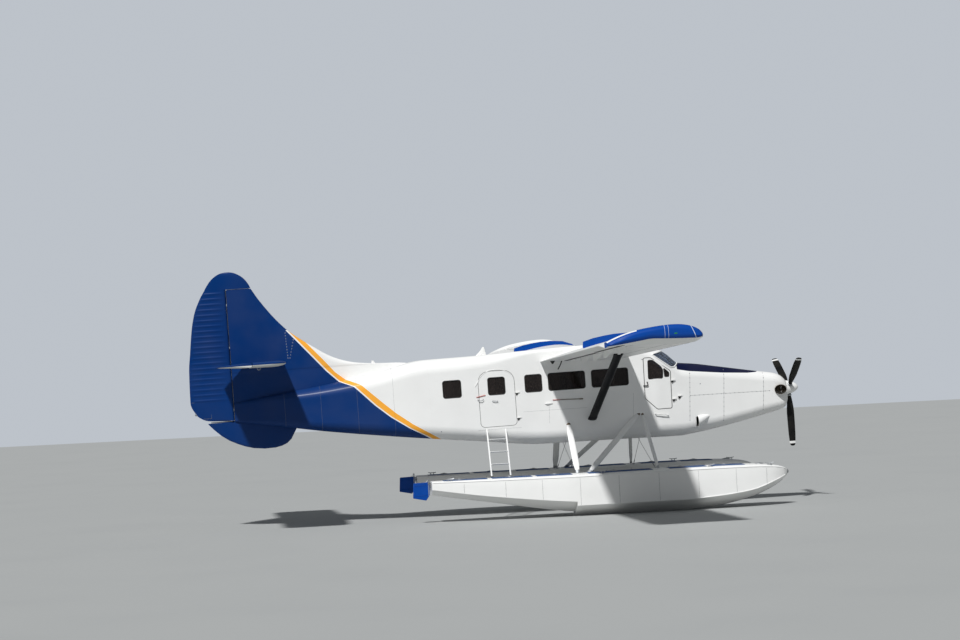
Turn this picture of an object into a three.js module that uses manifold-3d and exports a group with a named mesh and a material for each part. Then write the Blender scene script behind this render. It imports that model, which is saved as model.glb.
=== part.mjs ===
// Single-engined high-wing utility floatplane, turbine nose, twin floats.
// Millimetres, +Z up, nose towards +X, port side towards +Y.
// The airframe is drawn level in its own axes: x runs forward from the wing's leading edge at the root,
// z is measured from the underside of the wing root. The standing group then tips it nose-up on the floats,
// whose keels lie on z = 0.

import * as THREE from 'three';
import { mergeVertices } from 'three/addons/utils/BufferGeometryUtils.js';
import Module from 'manifold-3d';

const wasm = await Module();
wasm.setup();

// Driving dimensions
const NOSE_UP = 1.5;
const WING_ROOT_HEIGHT = 3376;
const CENTRE_SHIFT = 2875;
const TOUCH = 0.3;
const DOOR_GAP = 7;
const WALL = 45;
const GLASS_DEPTH = 14;
const GLASS = 8;
const CORNER_STEPS = 4;

const CABIN_HALF = 800;
const CABIN_FRONT = 1205;
const CABIN_REAR = -4500;
const FLOOR = -1300;
const FLOOR_PLATE = 28;
const TAIL_WALL = 30;
const COWL_WALL = 14;
const COWL_JOINT = 3440;
const NOSE_FRONT = 3750;
const WINDOW_Z = -380;
const WINDOW_HEIGHT = 385;

const CHORD = 1980;
const THICKNESS = 0.15;
const CAMBER = 0.04;
const CAMBER_AT = 0.4;
const SEMI_SPAN = 8840;
const WING_ROOT_Y = CABIN_HALF + 2;
const WING_CAP_Y = 8560;
const WING_LE_Z = 105;
const DIHEDRAL = 1.8;
const INCIDENCE = 0.5;
const SURFACE_GAP = 8;
const FLAP_HINGE = 0.75;
const AILERON_HINGE = 0.78;
const FLAP_SPAN = [872, 5150];
const AILERON_SPAN = [5252, 8500];
const FENCE_Y = 5201;

const TAIL_HINGE_X = -8880;
const RUDDER_NOSE = 58;
const STAB_Z = 470;
const STAB_HALF_SPAN = 3230;
const ELEVATOR_HINGE_X = -8489;
const ELEVATOR_NOSE = 48;
const TORQUE_TUBE = 20;
const STAB_SPAR = 160;
const STAB_CORE = 44;
const FIN_CORE = 36;

const PROP_Z = -918;
const PROP_X = 3838;
const PROP_RADIUS = 1340;
const SPINNER_RADIUS = 165;
const SPINNER_SKIN = 6;

const FLOAT_Y = 1650;
const DECK_Z = 910;
const STEP_X = -1500;
const STERN_X = -4642;
const WATER_RUDDER_X = -4700;

const PAINT = {
  white: [0xf1efe9, 0.32, 0.0],
  blue: [0x17275f, 0.3, 0.0],
  brightBlue: [0x1d4fc4, 0.35, 0.0],
  navy: [0x141b33, 0.45, 0.0],
  black: [0x14161a, 0.4, 0.0],
  glass: [0x2a3338, 0.08, 0.0],
  steel: [0x8f8a82, 0.45, 0.8],
  seat: [0x3a3f49, 0.8, 0.0],
  panel: [0x23262a, 0.75, 0.0],
};

// Solids and lofts

function toSolid(geometry) {
  const bare = geometry.clone();
  bare.deleteAttribute('normal');
  bare.deleteAttribute('uv');
  const merged = mergeVertices(bare, 1e-3);
  const vertProperties = new Float32Array(merged.attributes.position.array);
  const triVerts = new Uint32Array(merged.index.array);
  return new wasm.Manifold(new wasm.Mesh({ numProp: 3, vertProperties, triVerts }));
}

function flatten(ring) {
  const normal = new THREE.Vector3();
  const here = new THREE.Vector3();
  const next = new THREE.Vector3();
  ring.forEach((point, i) => {
    here.fromArray(point);
    next.fromArray(ring[(i + 1) % ring.length]);
    normal.add(here.clone().cross(next));
  });
  const size = [Math.abs(normal.x), Math.abs(normal.y), Math.abs(normal.z)];
  const drop = size.indexOf(Math.max(...size));
  const [a, b] = [0, 1, 2].filter((axis) => axis !== drop);
  return ring.map((point) => new THREE.Vector2(point[a], point[b]));
}

function capFaces(ring, first, turn) {
  const flat = flatten(ring);
  const ringSign = Math.sign(THREE.ShapeUtils.area(flat)) * turn;
  return THREE.ShapeUtils.triangulateShape(flat, []).flatMap(([i, j, k]) => {
    const sign = Math.sign(THREE.ShapeUtils.area([flat[i], flat[j], flat[k]]));
    return sign === ringSign ? [first + i, first + j, first + k] : [first + i, first + k, first + j];
  });
}

// A closed body through rings of equally many points
function loft(rings) {
  const count = rings[0].length;
  const points = rings.flat();
  let index = [];
  for (let r = 0; r + 1 < rings.length; r += 1) {
    for (let i = 0; i < count; i += 1) {
      const a = r * count + i;
      const b = r * count + ((i + 1) % count);
      index.push(a, b, b + count, a, b + count, a + count);
    }
  }
  index.push(...capFaces(rings[0], 0, -1));
  index.push(...capFaces(rings[rings.length - 1], (rings.length - 1) * count, 1));
  let volume = 0;
  for (let i = 0; i < index.length; i += 3) {
    const [a, b, c] = index.slice(i, i + 3).map((j) => new THREE.Vector3(...points[j]));
    volume += a.dot(b.cross(c));
  }
  if (volume < 0) index = index.reverse();
  const geometry = new THREE.BufferGeometry();
  geometry.setAttribute('position', new THREE.Float32BufferAttribute(points.flat(), 3));
  geometry.setIndex(index);
  return toSolid(geometry);
}

function box(low, high) {
  const size = high.map((value, i) => value - low[i]);
  const middle = high.map((value, i) => (value + low[i]) / 2);
  return toSolid(new THREE.BoxGeometry(...size).translate(...middle));
}

// A flat outline of [x, z] points, extruded between two values of y
function prism(outline, yLow, yHigh) {
  return loft([yLow, yHigh].map((y) => outline.map(([x, z]) => [x, y, z])));
}

function rod(start, end, radius, sides = 10) {
  const from = new THREE.Vector3(...start);
  const to = new THREE.Vector3(...end);
  const geometry = new THREE.CylinderGeometry(radius, radius, from.distanceTo(to), sides);
  const turn = new THREE.Quaternion().setFromUnitVectors(
    new THREE.Vector3(0, 1, 0),
    to.clone().sub(from).normalize(),
  );
  geometry.applyQuaternion(turn);
  geometry.translate(...from.add(to).multiplyScalar(0.5).toArray());
  return toSolid(geometry);
}

// A convex outline moved inwards by a distance
function inset(outline, distance) {
  const centre = outline.reduce((sum, [x, z]) => [sum[0] + x, sum[1] + z], [0, 0]);
  const middle = centre.map((value) => value / outline.length);
  const edges = outline.map(([x, z], i) => {
    const [nx, nz] = outline[(i + 1) % outline.length];
    const length = Math.hypot(nx - x, nz - z);
    const normal = [(nz - z) / length, (x - nx) / length];
    const offset = normal[0] * x + normal[1] * z;
    const inward = normal[0] * middle[0] + normal[1] * middle[1] > offset ? 1 : -1;
    return [normal[0], normal[1], offset + inward * distance];
  });
  return edges.map(([c, d, f], i) => {
    const [a, b, e] = edges[(i + edges.length - 1) % edges.length];
    const det = a * d - b * c;
    return [(e * d - b * f) / det, (a * f - e * c) / det];
  });
}

function roundedBox(centreX, centreZ, width, height, radius, steps = 3) {
  const outline = [];
  const corners = [[1, 1], [-1, 1], [-1, -1], [1, -1]];
  corners.forEach(([sx, sz], corner) => {
    for (let step = 0; step <= steps; step += 1) {
      const angle = (corner + step / steps) * Math.PI / 2;
      outline.push([
        centreX + sx * (width / 2 - radius) + radius * Math.cos(angle),
        centreZ + sz * (height / 2 - radius) + radius * Math.sin(angle),
      ]);
    }
  });
  return outline;
}

// The neighbour is taken away with a hair's gap along the given directions
function clearOf(piece, neighbour, ...directions) {
  return directions.reduce((rest, direction) => {
    const length = Math.hypot(...direction);
    return rest.subtract(neighbour.translate(direction.map((value) => (value / length) * TOUCH)));
  }, piece.subtract(neighbour));
}

function mirrored(solid) {
  return solid.mirror([0, 1, 0]);
}

// Fuselage: rounded box sections, from tail to nose

const TAIL_SECTIONS = [
  // x, half width, top, bottom, top corner, bottom corner
  [TAIL_HINGE_X + RUDDER_NOSE + SURFACE_GAP, 62, -320, -760, 55, 50],
  [-8000, 190, -220, -895, 150, 120],
  [-6900, 400, -95, -1100, 260, 220],
  [-5700, 610, 100, -1285, 330, 270],
  [CABIN_REAR - TOUCH, 768, 316, -1450, 330, 300],
];
const CABIN_SECTIONS = [
  [CABIN_REAR, 768, 316, -1450, 330, 300],
  [-3500, CABIN_HALF, 324, -1575, 300, 300],
  [-1990, CABIN_HALF, 366, -1752, 90, 300],
  [-900, CABIN_HALF, 385, -1768, 80, 300],
  [20, CABIN_HALF, 345, -1785, 90, 300],
  [556, 790, 236, -1800, 300, 300],
  [870, 748, 120, -1808, 330, 300],
  [CABIN_FRONT, 690, -165, -1812, 330, 300],
];
const COWL_SECTIONS = [
  [CABIN_FRONT + TOUCH, 690, -165, -1812, 330, 300],
  [1600, 618, -213, -1765, 310, 290],
  [2080, 540, -300, -1696, 280, 270],
  [3130, 388, -497, -1500, 230, 250],
  [COWL_JOINT, 340, -552, -1432, 210, 220],
];
const NOSE_SECTIONS = [
  [COWL_JOINT + TOUCH, 340, -552, -1432, 210, 220],
  [3600, 300, -612, -1390, 200, 190],
  [3700, 252, -690, -1345, 185, 170],
  [NOSE_FRONT, 196, -752, -1230, 150, 120],
];

function sectionRing([x, half, top, bottom, topRound, bottomRound], depth = 0) {
  const ring = [];
  const corners = [
    [1, top - depth, -1, topRound],
    [-1, top - depth, -1, topRound],
    [-1, bottom + depth, 1, bottomRound],
    [1, bottom + depth, 1, bottomRound],
  ];
  corners.forEach(([side, edge, inward, round], corner) => {
    const radius = Math.max(round - depth, 12);
    for (let step = 0; step <= CORNER_STEPS; step += 1) {
      const angle = (corner + step / CORNER_STEPS) * Math.PI / 2;
      ring.push([
        x,
        side * (half - depth - radius) + radius * Math.cos(angle),
        edge + inward * radius + radius * Math.sin(angle),
      ]);
    }
  });
  return ring;
}

function hull(sections, depth = 0) {
  return loft(sections.map((row) => sectionRing(row, depth)));
}

// The same body, drawn smaller all round and cut short at its ends
function core(sections, depth, rearCut, frontCut) {
  const [rear, front] = [sections[0][0] + rearCut, sections[sections.length - 1][0] - frontCut];
  const reach = 3000;
  return hull(sections, depth).intersect(box([rear, -reach, -reach], [front, reach, reach]));
}

// Windows and doors: outlines in the side view

const WINDOWS = [
  // centre x, width, door on starboard, door on port
  [-4000, 405, null, null],
  [-3003, 380, 'cabin_door', 'cargo_door_rear'],
  [-2170, 380, null, 'cargo_door_front'],
  [-1416, 830, null, null],
  [-434, 830, null, null],
];
const WINDOW_CORNER = 75;
const COCKPIT_WINDOW = [[455, -60], [560, -60], [742, -215], [788, -300], [772, -482], [440, -482]];
const QUARTERLIGHT = [[806, -250], [928, -368], [922, -455], [822, -455]];
const COCKPIT_DOOR = [[352, 0], [515, 0], [965, -330], [945, -1168], [600, -1168], [335, -905]];
const WINDSHIELD = [[556, 66], [1200, 206], [1320, -61], [1023, -277]];
const CENTRE_POST = 22;
const CABIN_DOOR = roundedBox(-3003, -660, 815, 1240, 130);
const CARGO_REAR = roundedBox(-3003, -660, 815, 1240, 60);
const CARGO_FRONT = roundedBox(-2255, -660, 660, 1240, 60);

const OUTSIDE = 1500;
const SIDES = { right: [-OUTSIDE, -250], left: [250, OUTSIDE] };
const DOORS = [
  // name, outline, side, extra holes, front and rear end of its glass
  ['cabin_door', CABIN_DOOR, 'right', []],
  ['cargo_door_rear', CARGO_REAR, 'left', []],
  ['cargo_door_front', CARGO_FRONT, 'left', []],
  ['cockpit_door_right', COCKPIT_DOOR, 'right', [COCKPIT_WINDOW, QUARTERLIGHT]],
  ['cockpit_door_left', COCKPIT_DOOR, 'left', [COCKPIT_WINDOW, QUARTERLIGHT]],
];
const PANE_LAP = 22;
const COCKPIT_PANE = [[428, -38], [575, -38], [765, -198], [944, -355], [936, -478], [418, -502]];
const PANES = [
  // name, side, centre x, width
  ['window_rear_right', 'right', -4000, 405],
  ['window_rear_left', 'left', -4000, 405],
  ['window_strip_right', 'right', -1190, 2342],
  ['window_strip_left', 'left', -925, 1812],
  ['cabin_door_window', 'right', -3003, 380],
  ['cargo_window_rear', 'left', -3003, 380],
  ['cargo_window_front', 'left', -2170, 380],
];

function windowOutline(centreX, width, lap = 0) {
  return roundedBox(centreX, WINDOW_Z, width + 2 * lap, WINDOW_HEIGHT + 2 * lap, WINDOW_CORNER);
}

const cabinOuter = hull(CABIN_SECTIONS);
const cabinWall = cabinOuter.subtract(core(CABIN_SECTIONS, WALL, WALL, WALL));
const floorPlate = core(CABIN_SECTIONS, WALL + TOUCH, WALL + TOUCH, WALL + TOUCH)
  .intersect(box([CABIN_REAR, -OUTSIDE, FLOOR - FLOOR_PLATE], [CABIN_FRONT, OUTSIDE, FLOOR]));
const paneLayer = hull(CABIN_SECTIONS, WALL + TOUCH).subtract(hull(CABIN_SECTIONS, WALL + TOUCH + GLASS));
const shieldLayer = hull(CABIN_SECTIONS, GLASS_DEPTH).subtract(hull(CABIN_SECTIONS, GLASS_DEPTH + GLASS));
const postLayer = cabinOuter.subtract(hull(CABIN_SECTIONS, GLASS_DEPTH - TOUCH));

function cut(solid, outlines, side) {
  return outlines.reduce((rest, outline) => rest.subtract(prism(outline, ...SIDES[side])), solid);
}

const nodes = { airframe: [], stand: [] };

function add(group, name, solid, paint) {
  nodes[group].push([name, solid, paint]);
  return solid;
}

function buildCabin() {
  let shell = cabinWall.subtract(prism(WINDSHIELD, -OUTSIDE, OUTSIDE))
    .add(postLayer.intersect(prism(WINDSHIELD, -CENTRE_POST, CENTRE_POST)));
  DOORS.forEach(([name, outline, side, holes]) => {
    shell = cut(shell, [outline], side);
    const windows = WINDOWS.filter((row) => row.slice(2).includes(name))
      .map(([centreX, width]) => windowOutline(centreX, width));
    const leaf = cabinWall.intersect(prism(inset(outline, DOOR_GAP), ...SIDES[side]));
    add('airframe', name, cut(leaf, [...holes, ...windows], side), 'white');
  });
  WINDOWS.forEach(([centreX, width, starboardDoor, portDoor]) => {
    const outline = windowOutline(centreX, width);
    if (!starboardDoor) shell = cut(shell, [outline], 'right');
    if (!portDoor) shell = cut(shell, [outline], 'left');
  });
  add('airframe', 'cabin_shell', shell, 'white');
  PANES.forEach(([name, side, centreX, width]) => {
    const outline = windowOutline(centreX, width, PANE_LAP);
    add('airframe', name, paneLayer.intersect(prism(outline, ...SIDES[side])), 'glass');
  });
  Object.entries(SIDES).forEach(([sideName, side]) => {
    add('airframe', `cockpit_window_${sideName}`, paneLayer.intersect(prism(COCKPIT_PANE, ...side)), 'glass');
  });
  const shield = shieldLayer.intersect(prism(inset(WINDSHIELD, TOUCH), -OUTSIDE, OUTSIDE));
  add('airframe', 'windshield', shield, 'glass');
}

// Cabin fittings: seats on rails, panel and yokes

const SEAT = { width: 420, depth: 430, cushion: 90, height: 330, back: 560, backThick: 80, legs: 40 };
const SEAT_ROWS = [-3560, -2780, -2000, -1220, -440];
const SEAT_Y = 440;
const PILOT_X = 380;

function seat(x, y) {
  const { width, depth, cushion, height, back, backThick, legs } = SEAT;
  const top = FLOOR + TOUCH + height + cushion;
  const lean = 110;
  const backOutline = [[x, top - cushion], [x + backThick, top - cushion],
    [x + backThick - lean, top + back], [x - lean, top + back]];
  return box([x, y - width / 2, top - cushion], [x + depth, y + width / 2, top])
    .add(prism(backOutline, y - width / 2, y + width / 2))
    .add(box([x + legs, y - width / 2 + legs, FLOOR + TOUCH],
      [x + depth - legs, y + width / 2 - legs, top - cushion + 1]));
}

const FLOOR_HATCHES = [
  // centre x, length
  [-3900, 420],
  [-2360, 420],
  [-700, 420],
];
const HATCH_HALF = 150;

function buildFittings() {
  const floor = FLOOR_HATCHES.reduce((rest, [x, length]) => rest.subtract(
    box([x - length / 2, -HATCH_HALF, FLOOR - OUTSIDE], [x + length / 2, HATCH_HALF, OUTSIDE]),
  ), floorPlate);
  add('airframe', 'cabin_floor', floor, 'panel');
  [['right', -1], ['left', 1]].forEach(([sideName, side]) => {
    const railEnds = [SEAT_ROWS[0], SEAT_ROWS[SEAT_ROWS.length - 1] + SEAT.depth];
    let bench = box([railEnds[0], side * SEAT_Y - 30, FLOOR + TOUCH], [railEnds[1], side * SEAT_Y + 30, FLOOR + 25]);
    SEAT_ROWS.forEach((x) => {
      bench = bench.add(seat(x, side * SEAT_Y));
    });
    add('airframe', `cabin_seats_${sideName}`, bench, 'seat');
    add('airframe', `pilot_seat_${sideName}`, seat(PILOT_X - 40, side * 380), 'seat');
  });
  const panelOutline = [[1010, -330], [1158, -250], [1158, -760], [1060, -760]];
  const panel = prism(panelOutline, -560, 560);
  const column = rod([1075, 0, -700], [900, 0, -560], 22, 8).add(box([870, -330, -600], [905, 330, -560]));
  const yokes = [-300, 300].map((y) => box([868, y - 110, -600], [903, y + 110, -575])
    .add(box([868, y - 110, -600], [903, y - 80, -480]))
    .add(box([868, y + 80, -600], [903, y + 110, -480])));
  let whole = panel.add(column);
  yokes.forEach((yoke) => {
    whole = whole.add(yoke);
  });
  add('airframe', 'instrument_panel', whole, 'panel');
}

// Nose: cowling, engine, exhaust stubs, spinner and feathered propeller

const OUTLET_SKIN = 12;
const OUTLET_RINGS = [
  // x, y, z, half width, half height
  [1840, 560, -1405, 14, 14],
  [1760, 572, -1432, 58, 62],
  [1660, 588, -1468, 96, 100],
  [1538, 602, -1511, 118, 126],
];
const STACK_SKIN = 9;
const STACK_RINGS = [
  // x, y, z, half length, half height
  [3612, 190, -925, 92, 84],
  [3590, 300, -930, 112, 96],
  [3548, 398, -940, 130, 109],
];

// A tapering oval duct that opens aft on the side of the cowling
function outlet(side, skin) {
  const sides = 16;
  const tail = skin > 0 ? [[1500, 606, -1524, 122, 130]] : [];
  return loft([...OUTLET_RINGS, ...tail].slice(skin > 0 ? 1 : 0).map(([x, y, z, wide, high]) => (
    Array.from({ length: sides }, (_, i) => {
      const angle = (i / sides) * Math.PI * 2;
      return [x, side * y + (wide - skin) * Math.cos(angle), z + (high - skin) * Math.sin(angle)];
    }))));
}

// A short oval exhaust stub that opens outwards and a little aft
function stack(side, skin) {
  const sides = 18;
  const lean = 0.3;
  const mouth = skin > 0 ? [[3535, 430, -944, 138, 113]] : [];
  return loft([...STACK_RINGS, ...mouth].map(([x, y, z, long, high]) => (
    Array.from({ length: sides }, (_, i) => {
      const angle = (i / sides) * Math.PI * 2;
      const along = (long - skin) * Math.cos(angle);
      return [x + along, side * (y + along * lean), z + (high - skin) * Math.sin(angle)];
    }))));
}

function buildNose() {
  let cowl = hull(COWL_SECTIONS).subtract(hull(COWL_SECTIONS, COWL_WALL));
  const belly = hull(COWL_SECTIONS);
  [-1, 1].forEach((side) => {
    const scoop = outlet(side, 0).subtract(outlet(side, OUTLET_SKIN));
    cowl = cowl.add(scoop.subtract(hull(COWL_SECTIONS, COWL_WALL / 2)));
  });
  add('airframe', 'cowl', biggest(cowl), 'white');
  let nose = hull(NOSE_SECTIONS).subtract(core(NOSE_SECTIONS, COWL_WALL, -1, COWL_WALL));
  nose = nose.subtract(rod([3600, 0, PROP_Z], [3900, 0, PROP_Z], 62, 16));
  const intake = roundedBox(0, 0, 260, 150, 50).map(([y, z]) => [y, z - 1240]);
  nose = nose.subtract(loft([3600, 3900].map((x) => intake.map(([y, z]) => [x, y, z]))));
  add('airframe', 'nose_bowl', nose, 'white');
  add('airframe', 'engine', box([1700, -250, -1180], [3380, 250, -700]), 'steel');
  [['right', -1], ['left', 1]].forEach(([sideName, side]) => {
    const around = [[0, side, 0], [1, 0, 0], [-1, 0, 0], [0, 0, 1], [0, 0, -1]];
    const stub = clearOf(clearOf(stack(side, 0), hull(NOSE_SECTIONS), ...around), belly, ...around);
    add('airframe', `exhaust_${sideName}`, biggest(stub.subtract(stack(side, STACK_SKIN))), 'steel');
  });
  buildPropeller();
}

function spinnerBody(shrink) {
  const profile = [[0, 300], [52, 275], [100, 215], [138, 130], [160, 40], [SPINNER_RADIUS, 0]]
    .map(([radius, height]) => new THREE.Vector2(Math.max(radius - shrink, 0), height - shrink));
  const lathe = new THREE.LatheGeometry([new THREE.Vector2(0, -shrink), ...profile.reverse()], 24);
  return toSolid(lathe.rotateZ(-Math.PI / 2).translate(NOSE_FRONT + 10, 0, PROP_Z));
}

function buildPropeller() {
  const turned = (solid, number) => solid.rotate([number * 120, 0, 0]).translate([PROP_X, 0, PROP_Z]);
  let propeller = rod([3400, 0, PROP_Z], [PROP_X, 0, PROP_Z], 50, 12)
    .add(rod([NOSE_FRONT + 22, 0, PROP_Z], [PROP_X + 60, 0, PROP_Z], 104, 16));
  let spinner = spinnerBody(0).subtract(spinnerBody(SPINNER_SKIN))
    .subtract(rod([NOSE_FRONT, 0, PROP_Z], [NOSE_FRONT + 22, 0, PROP_Z], 112, 16));
  [0, 1, 2].forEach((number) => {
    propeller = propeller.add(turned(blade(), number));
    spinner = spinner.subtract(turned(rod([0, 0, -110], [0, 0, -300], 54, 12), number));
  });
  add('airframe', 'propeller', propeller, 'black');
  add('airframe', 'spinner', spinner, 'white');
}

const BLADE_SECTIONS = [
  // radius, chord, thickness, pitch from feathered in degrees
  [92, 84, 84, 0],
  [180, 84, 80, 0],
  [300, 120, 48, -4],
  [600, 172, 28, 0],
  [1000, 168, 18, 5],
  [1270, 138, 12, 8],
  [PROP_RADIUS, 70, 8, 9],
];

function blade() {
  const sides = 10;
  const rings = BLADE_SECTIONS.map(([radius, chord, thick, pitch]) => {
    const turn = THREE.MathUtils.degToRad(pitch);
    return Array.from({ length: sides }, (_, i) => {
      const angle = (i / sides) * Math.PI * 2;
      const along = (chord / 2) * Math.cos(angle);
      const across = (thick / 2) * Math.sin(angle);
      return [along * Math.cos(turn) - across * Math.sin(turn),
        along * Math.sin(turn) + across * Math.cos(turn), -radius];
    });
  });
  return loft(rings);
}

// Wing section: thickness and camber by formula, over named chord stations

const STATIONS = [0, 0.012, 0.045, 0.11, 0.22, 0.38, 0.56, 0.75, 0.9, 1];

function camberAt(c) {
  return c < CAMBER_AT
    ? (CAMBER / CAMBER_AT ** 2) * (2 * CAMBER_AT * c - c * c)
    : (CAMBER / (1 - CAMBER_AT) ** 2) * (1 - 2 * CAMBER_AT + 2 * CAMBER_AT * c - c * c);
}

function halfThickness(c, thickness = THICKNESS) {
  const form = 0.2969 * Math.sqrt(c) - 0.126 * c - 0.3516 * c ** 2 + 0.2843 * c ** 3 - 0.1015 * c ** 4;
  return 5 * thickness * form + 0.0012 * c;
}

// [x, z] of a point on the wing, from a chord fraction and a side of the camber line
function wingPoint(c, side) {
  const turn = THREE.MathUtils.degToRad(INCIDENCE);
  const x = -c * CHORD;
  const z = (camberAt(c) + side * halfThickness(c)) * CHORD;
  return [x * Math.cos(turn), x * Math.sin(turn) + z + WING_LE_Z];
}

function lift(y) {
  return (Math.abs(y) - WING_ROOT_Y) * Math.tan(THREE.MathUtils.degToRad(DIHEDRAL));
}

function spanwise(outline, yInner, yOuter) {
  return loft([yInner, yOuter].map((y) => outline.map(([x, z]) => [x, y, z + lift(y)])));
}

function wingOutline(stations = STATIONS) {
  const upper = stations.map((c) => wingPoint(c, 1));
  const lower = stations.slice(1).reverse().map((c) => wingPoint(c, -1));
  return [...upper, ...lower];
}

function hingePoint(c) {
  const [upper, lower] = [wingPoint(c, 1), wingPoint(c, -1)];
  return [upper[0], (upper[1] + lower[1]) / 2, (upper[1] - lower[1]) / 2];
}

// A flap or aileron: the wing section behind the hinge, with a round nose on the hinge line
function surfaceOutline(hingeAt) {
  const [x, z, radius] = hingePoint(hingeAt);
  const stations = [hingeAt, ...STATIONS.filter((c) => c > hingeAt + 0.02)];
  const upper = stations.map((c) => wingPoint(c, 1));
  const lower = stations.slice().reverse().map((c) => wingPoint(c, -1));
  const nose = [1, 2, 3, 4, 5].map((step) => {
    const angle = -Math.PI / 2 + (step / 6) * Math.PI;
    return [x + radius * Math.cos(angle), z + radius * Math.sin(angle)];
  });
  return [...upper, ...lower, ...nose];
}

function bay(hingeAt, [yInner, yOuter]) {
  const [x, z, radius] = hingePoint(hingeAt);
  const front = x + radius + SURFACE_GAP;
  const outline = [[front, z - 400], [front, z + 400], [-CHORD - 200, z + 400], [-CHORD - 200, z - 400]];
  return spanwise(outline, yInner - SURFACE_GAP, yOuter + SURFACE_GAP);
}

const BRACKET_STATIONS = [
  // y, hinge fraction
  [1500, FLAP_HINGE], [2900, FLAP_HINGE], [4450, FLAP_HINGE], [6100, AILERON_HINGE], [7700, AILERON_HINGE],
];

function buildWing(sideName, flip) {
  const place = (solid) => (flip ? mirrored(solid) : solid);
  let wing = spanwise(wingOutline(), WING_ROOT_Y, WING_CAP_Y);
  wing = wing.subtract(bay(FLAP_HINGE, FLAP_SPAN)).subtract(bay(AILERON_HINGE, AILERON_SPAN));
  BRACKET_STATIONS.forEach(([y, hingeAt]) => {
    const [x, z, radius] = hingePoint(hingeAt);
    const rear = x + radius + SURFACE_GAP;
    const outline = [[rear + 260, z - 40], [rear, z - 20], [rear, z - radius - 95], [rear + 40, z - radius - 95]];
    wing = wing.add(spanwise(outline, y - 12, y + 12));
  });
  wing = wing.add(wingFence());
  add('airframe', `wing_${sideName}`, place(wing), 'white');
  add('airframe', `flap_${sideName}`, place(spanwise(surfaceOutline(FLAP_HINGE), ...FLAP_SPAN)), 'white');
  const aileron = spanwise(surfaceOutline(AILERON_HINGE), ...AILERON_SPAN);
  add('airframe', `aileron_${sideName}`, place(aileron), 'white');
  add('airframe', `wing_tip_${sideName}`, place(wingTip()), 'brightBlue');
  return place(wing);
}

// Drooped tip: the upper surface comes down to the lower one at the outer edge
function wingTip() {
  const outline = wingOutline();
  const rows = [
    // y, thickness left, shortening of the chord
    [WING_CAP_Y + TOUCH, 1, 0],
    [8680, 0.88, 0.004],
    [8780, 0.62, 0.015],
    [SEMI_SPAN, 0.3, 0.035],
  ];
  const lowerAt = (x) => {
    const c = Math.min(Math.max(-x / CHORD, 0), 1);
    return wingPoint(c, -1)[1];
  };
  return loft(rows.map(([y, keep, shorten]) => outline.map(([x, z]) => {
    const low = lowerAt(x);
    return [x * (1 - 2 * shorten) - CHORD * shorten, y, low + (z - low) * keep + lift(y) - (1 - keep) * 40];
  })));
}

function wingFence() {
  const stations = [0.1, 0.2, 0.38, 0.6, 0.86];
  const foot = stations.map((c) => wingPoint(c, 1));
  const top = [[0.86, 12], [0.74, 70], [0.5, 100], [0.25, 100], [0.13, 55]]
    .map(([c, rise]) => [wingPoint(c, 1)[0], wingPoint(c, 1)[1] + rise]);
  return spanwise([...foot.map(([x, z]) => [x, z - 10]), ...top], FENCE_Y - 4, FENCE_Y + 4);
}

// Tail: fin with horn-balanced rudder, low ventral fin, tailplane and elevators

const FIN_TOP = 2190;
const TIP_GAP = 12;

function blade2d(leading, trailing, z, thick) {
  const middle = (leading + trailing) / 2;
  return [[leading, 0, z], [leading - 90, thick * 0.62, z], [middle, thick, z], [trailing, thick * 0.86, z],
    [trailing, -thick * 0.86, z], [middle, -thick, z], [leading - 90, -thick * 0.62, z]];
}

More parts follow.
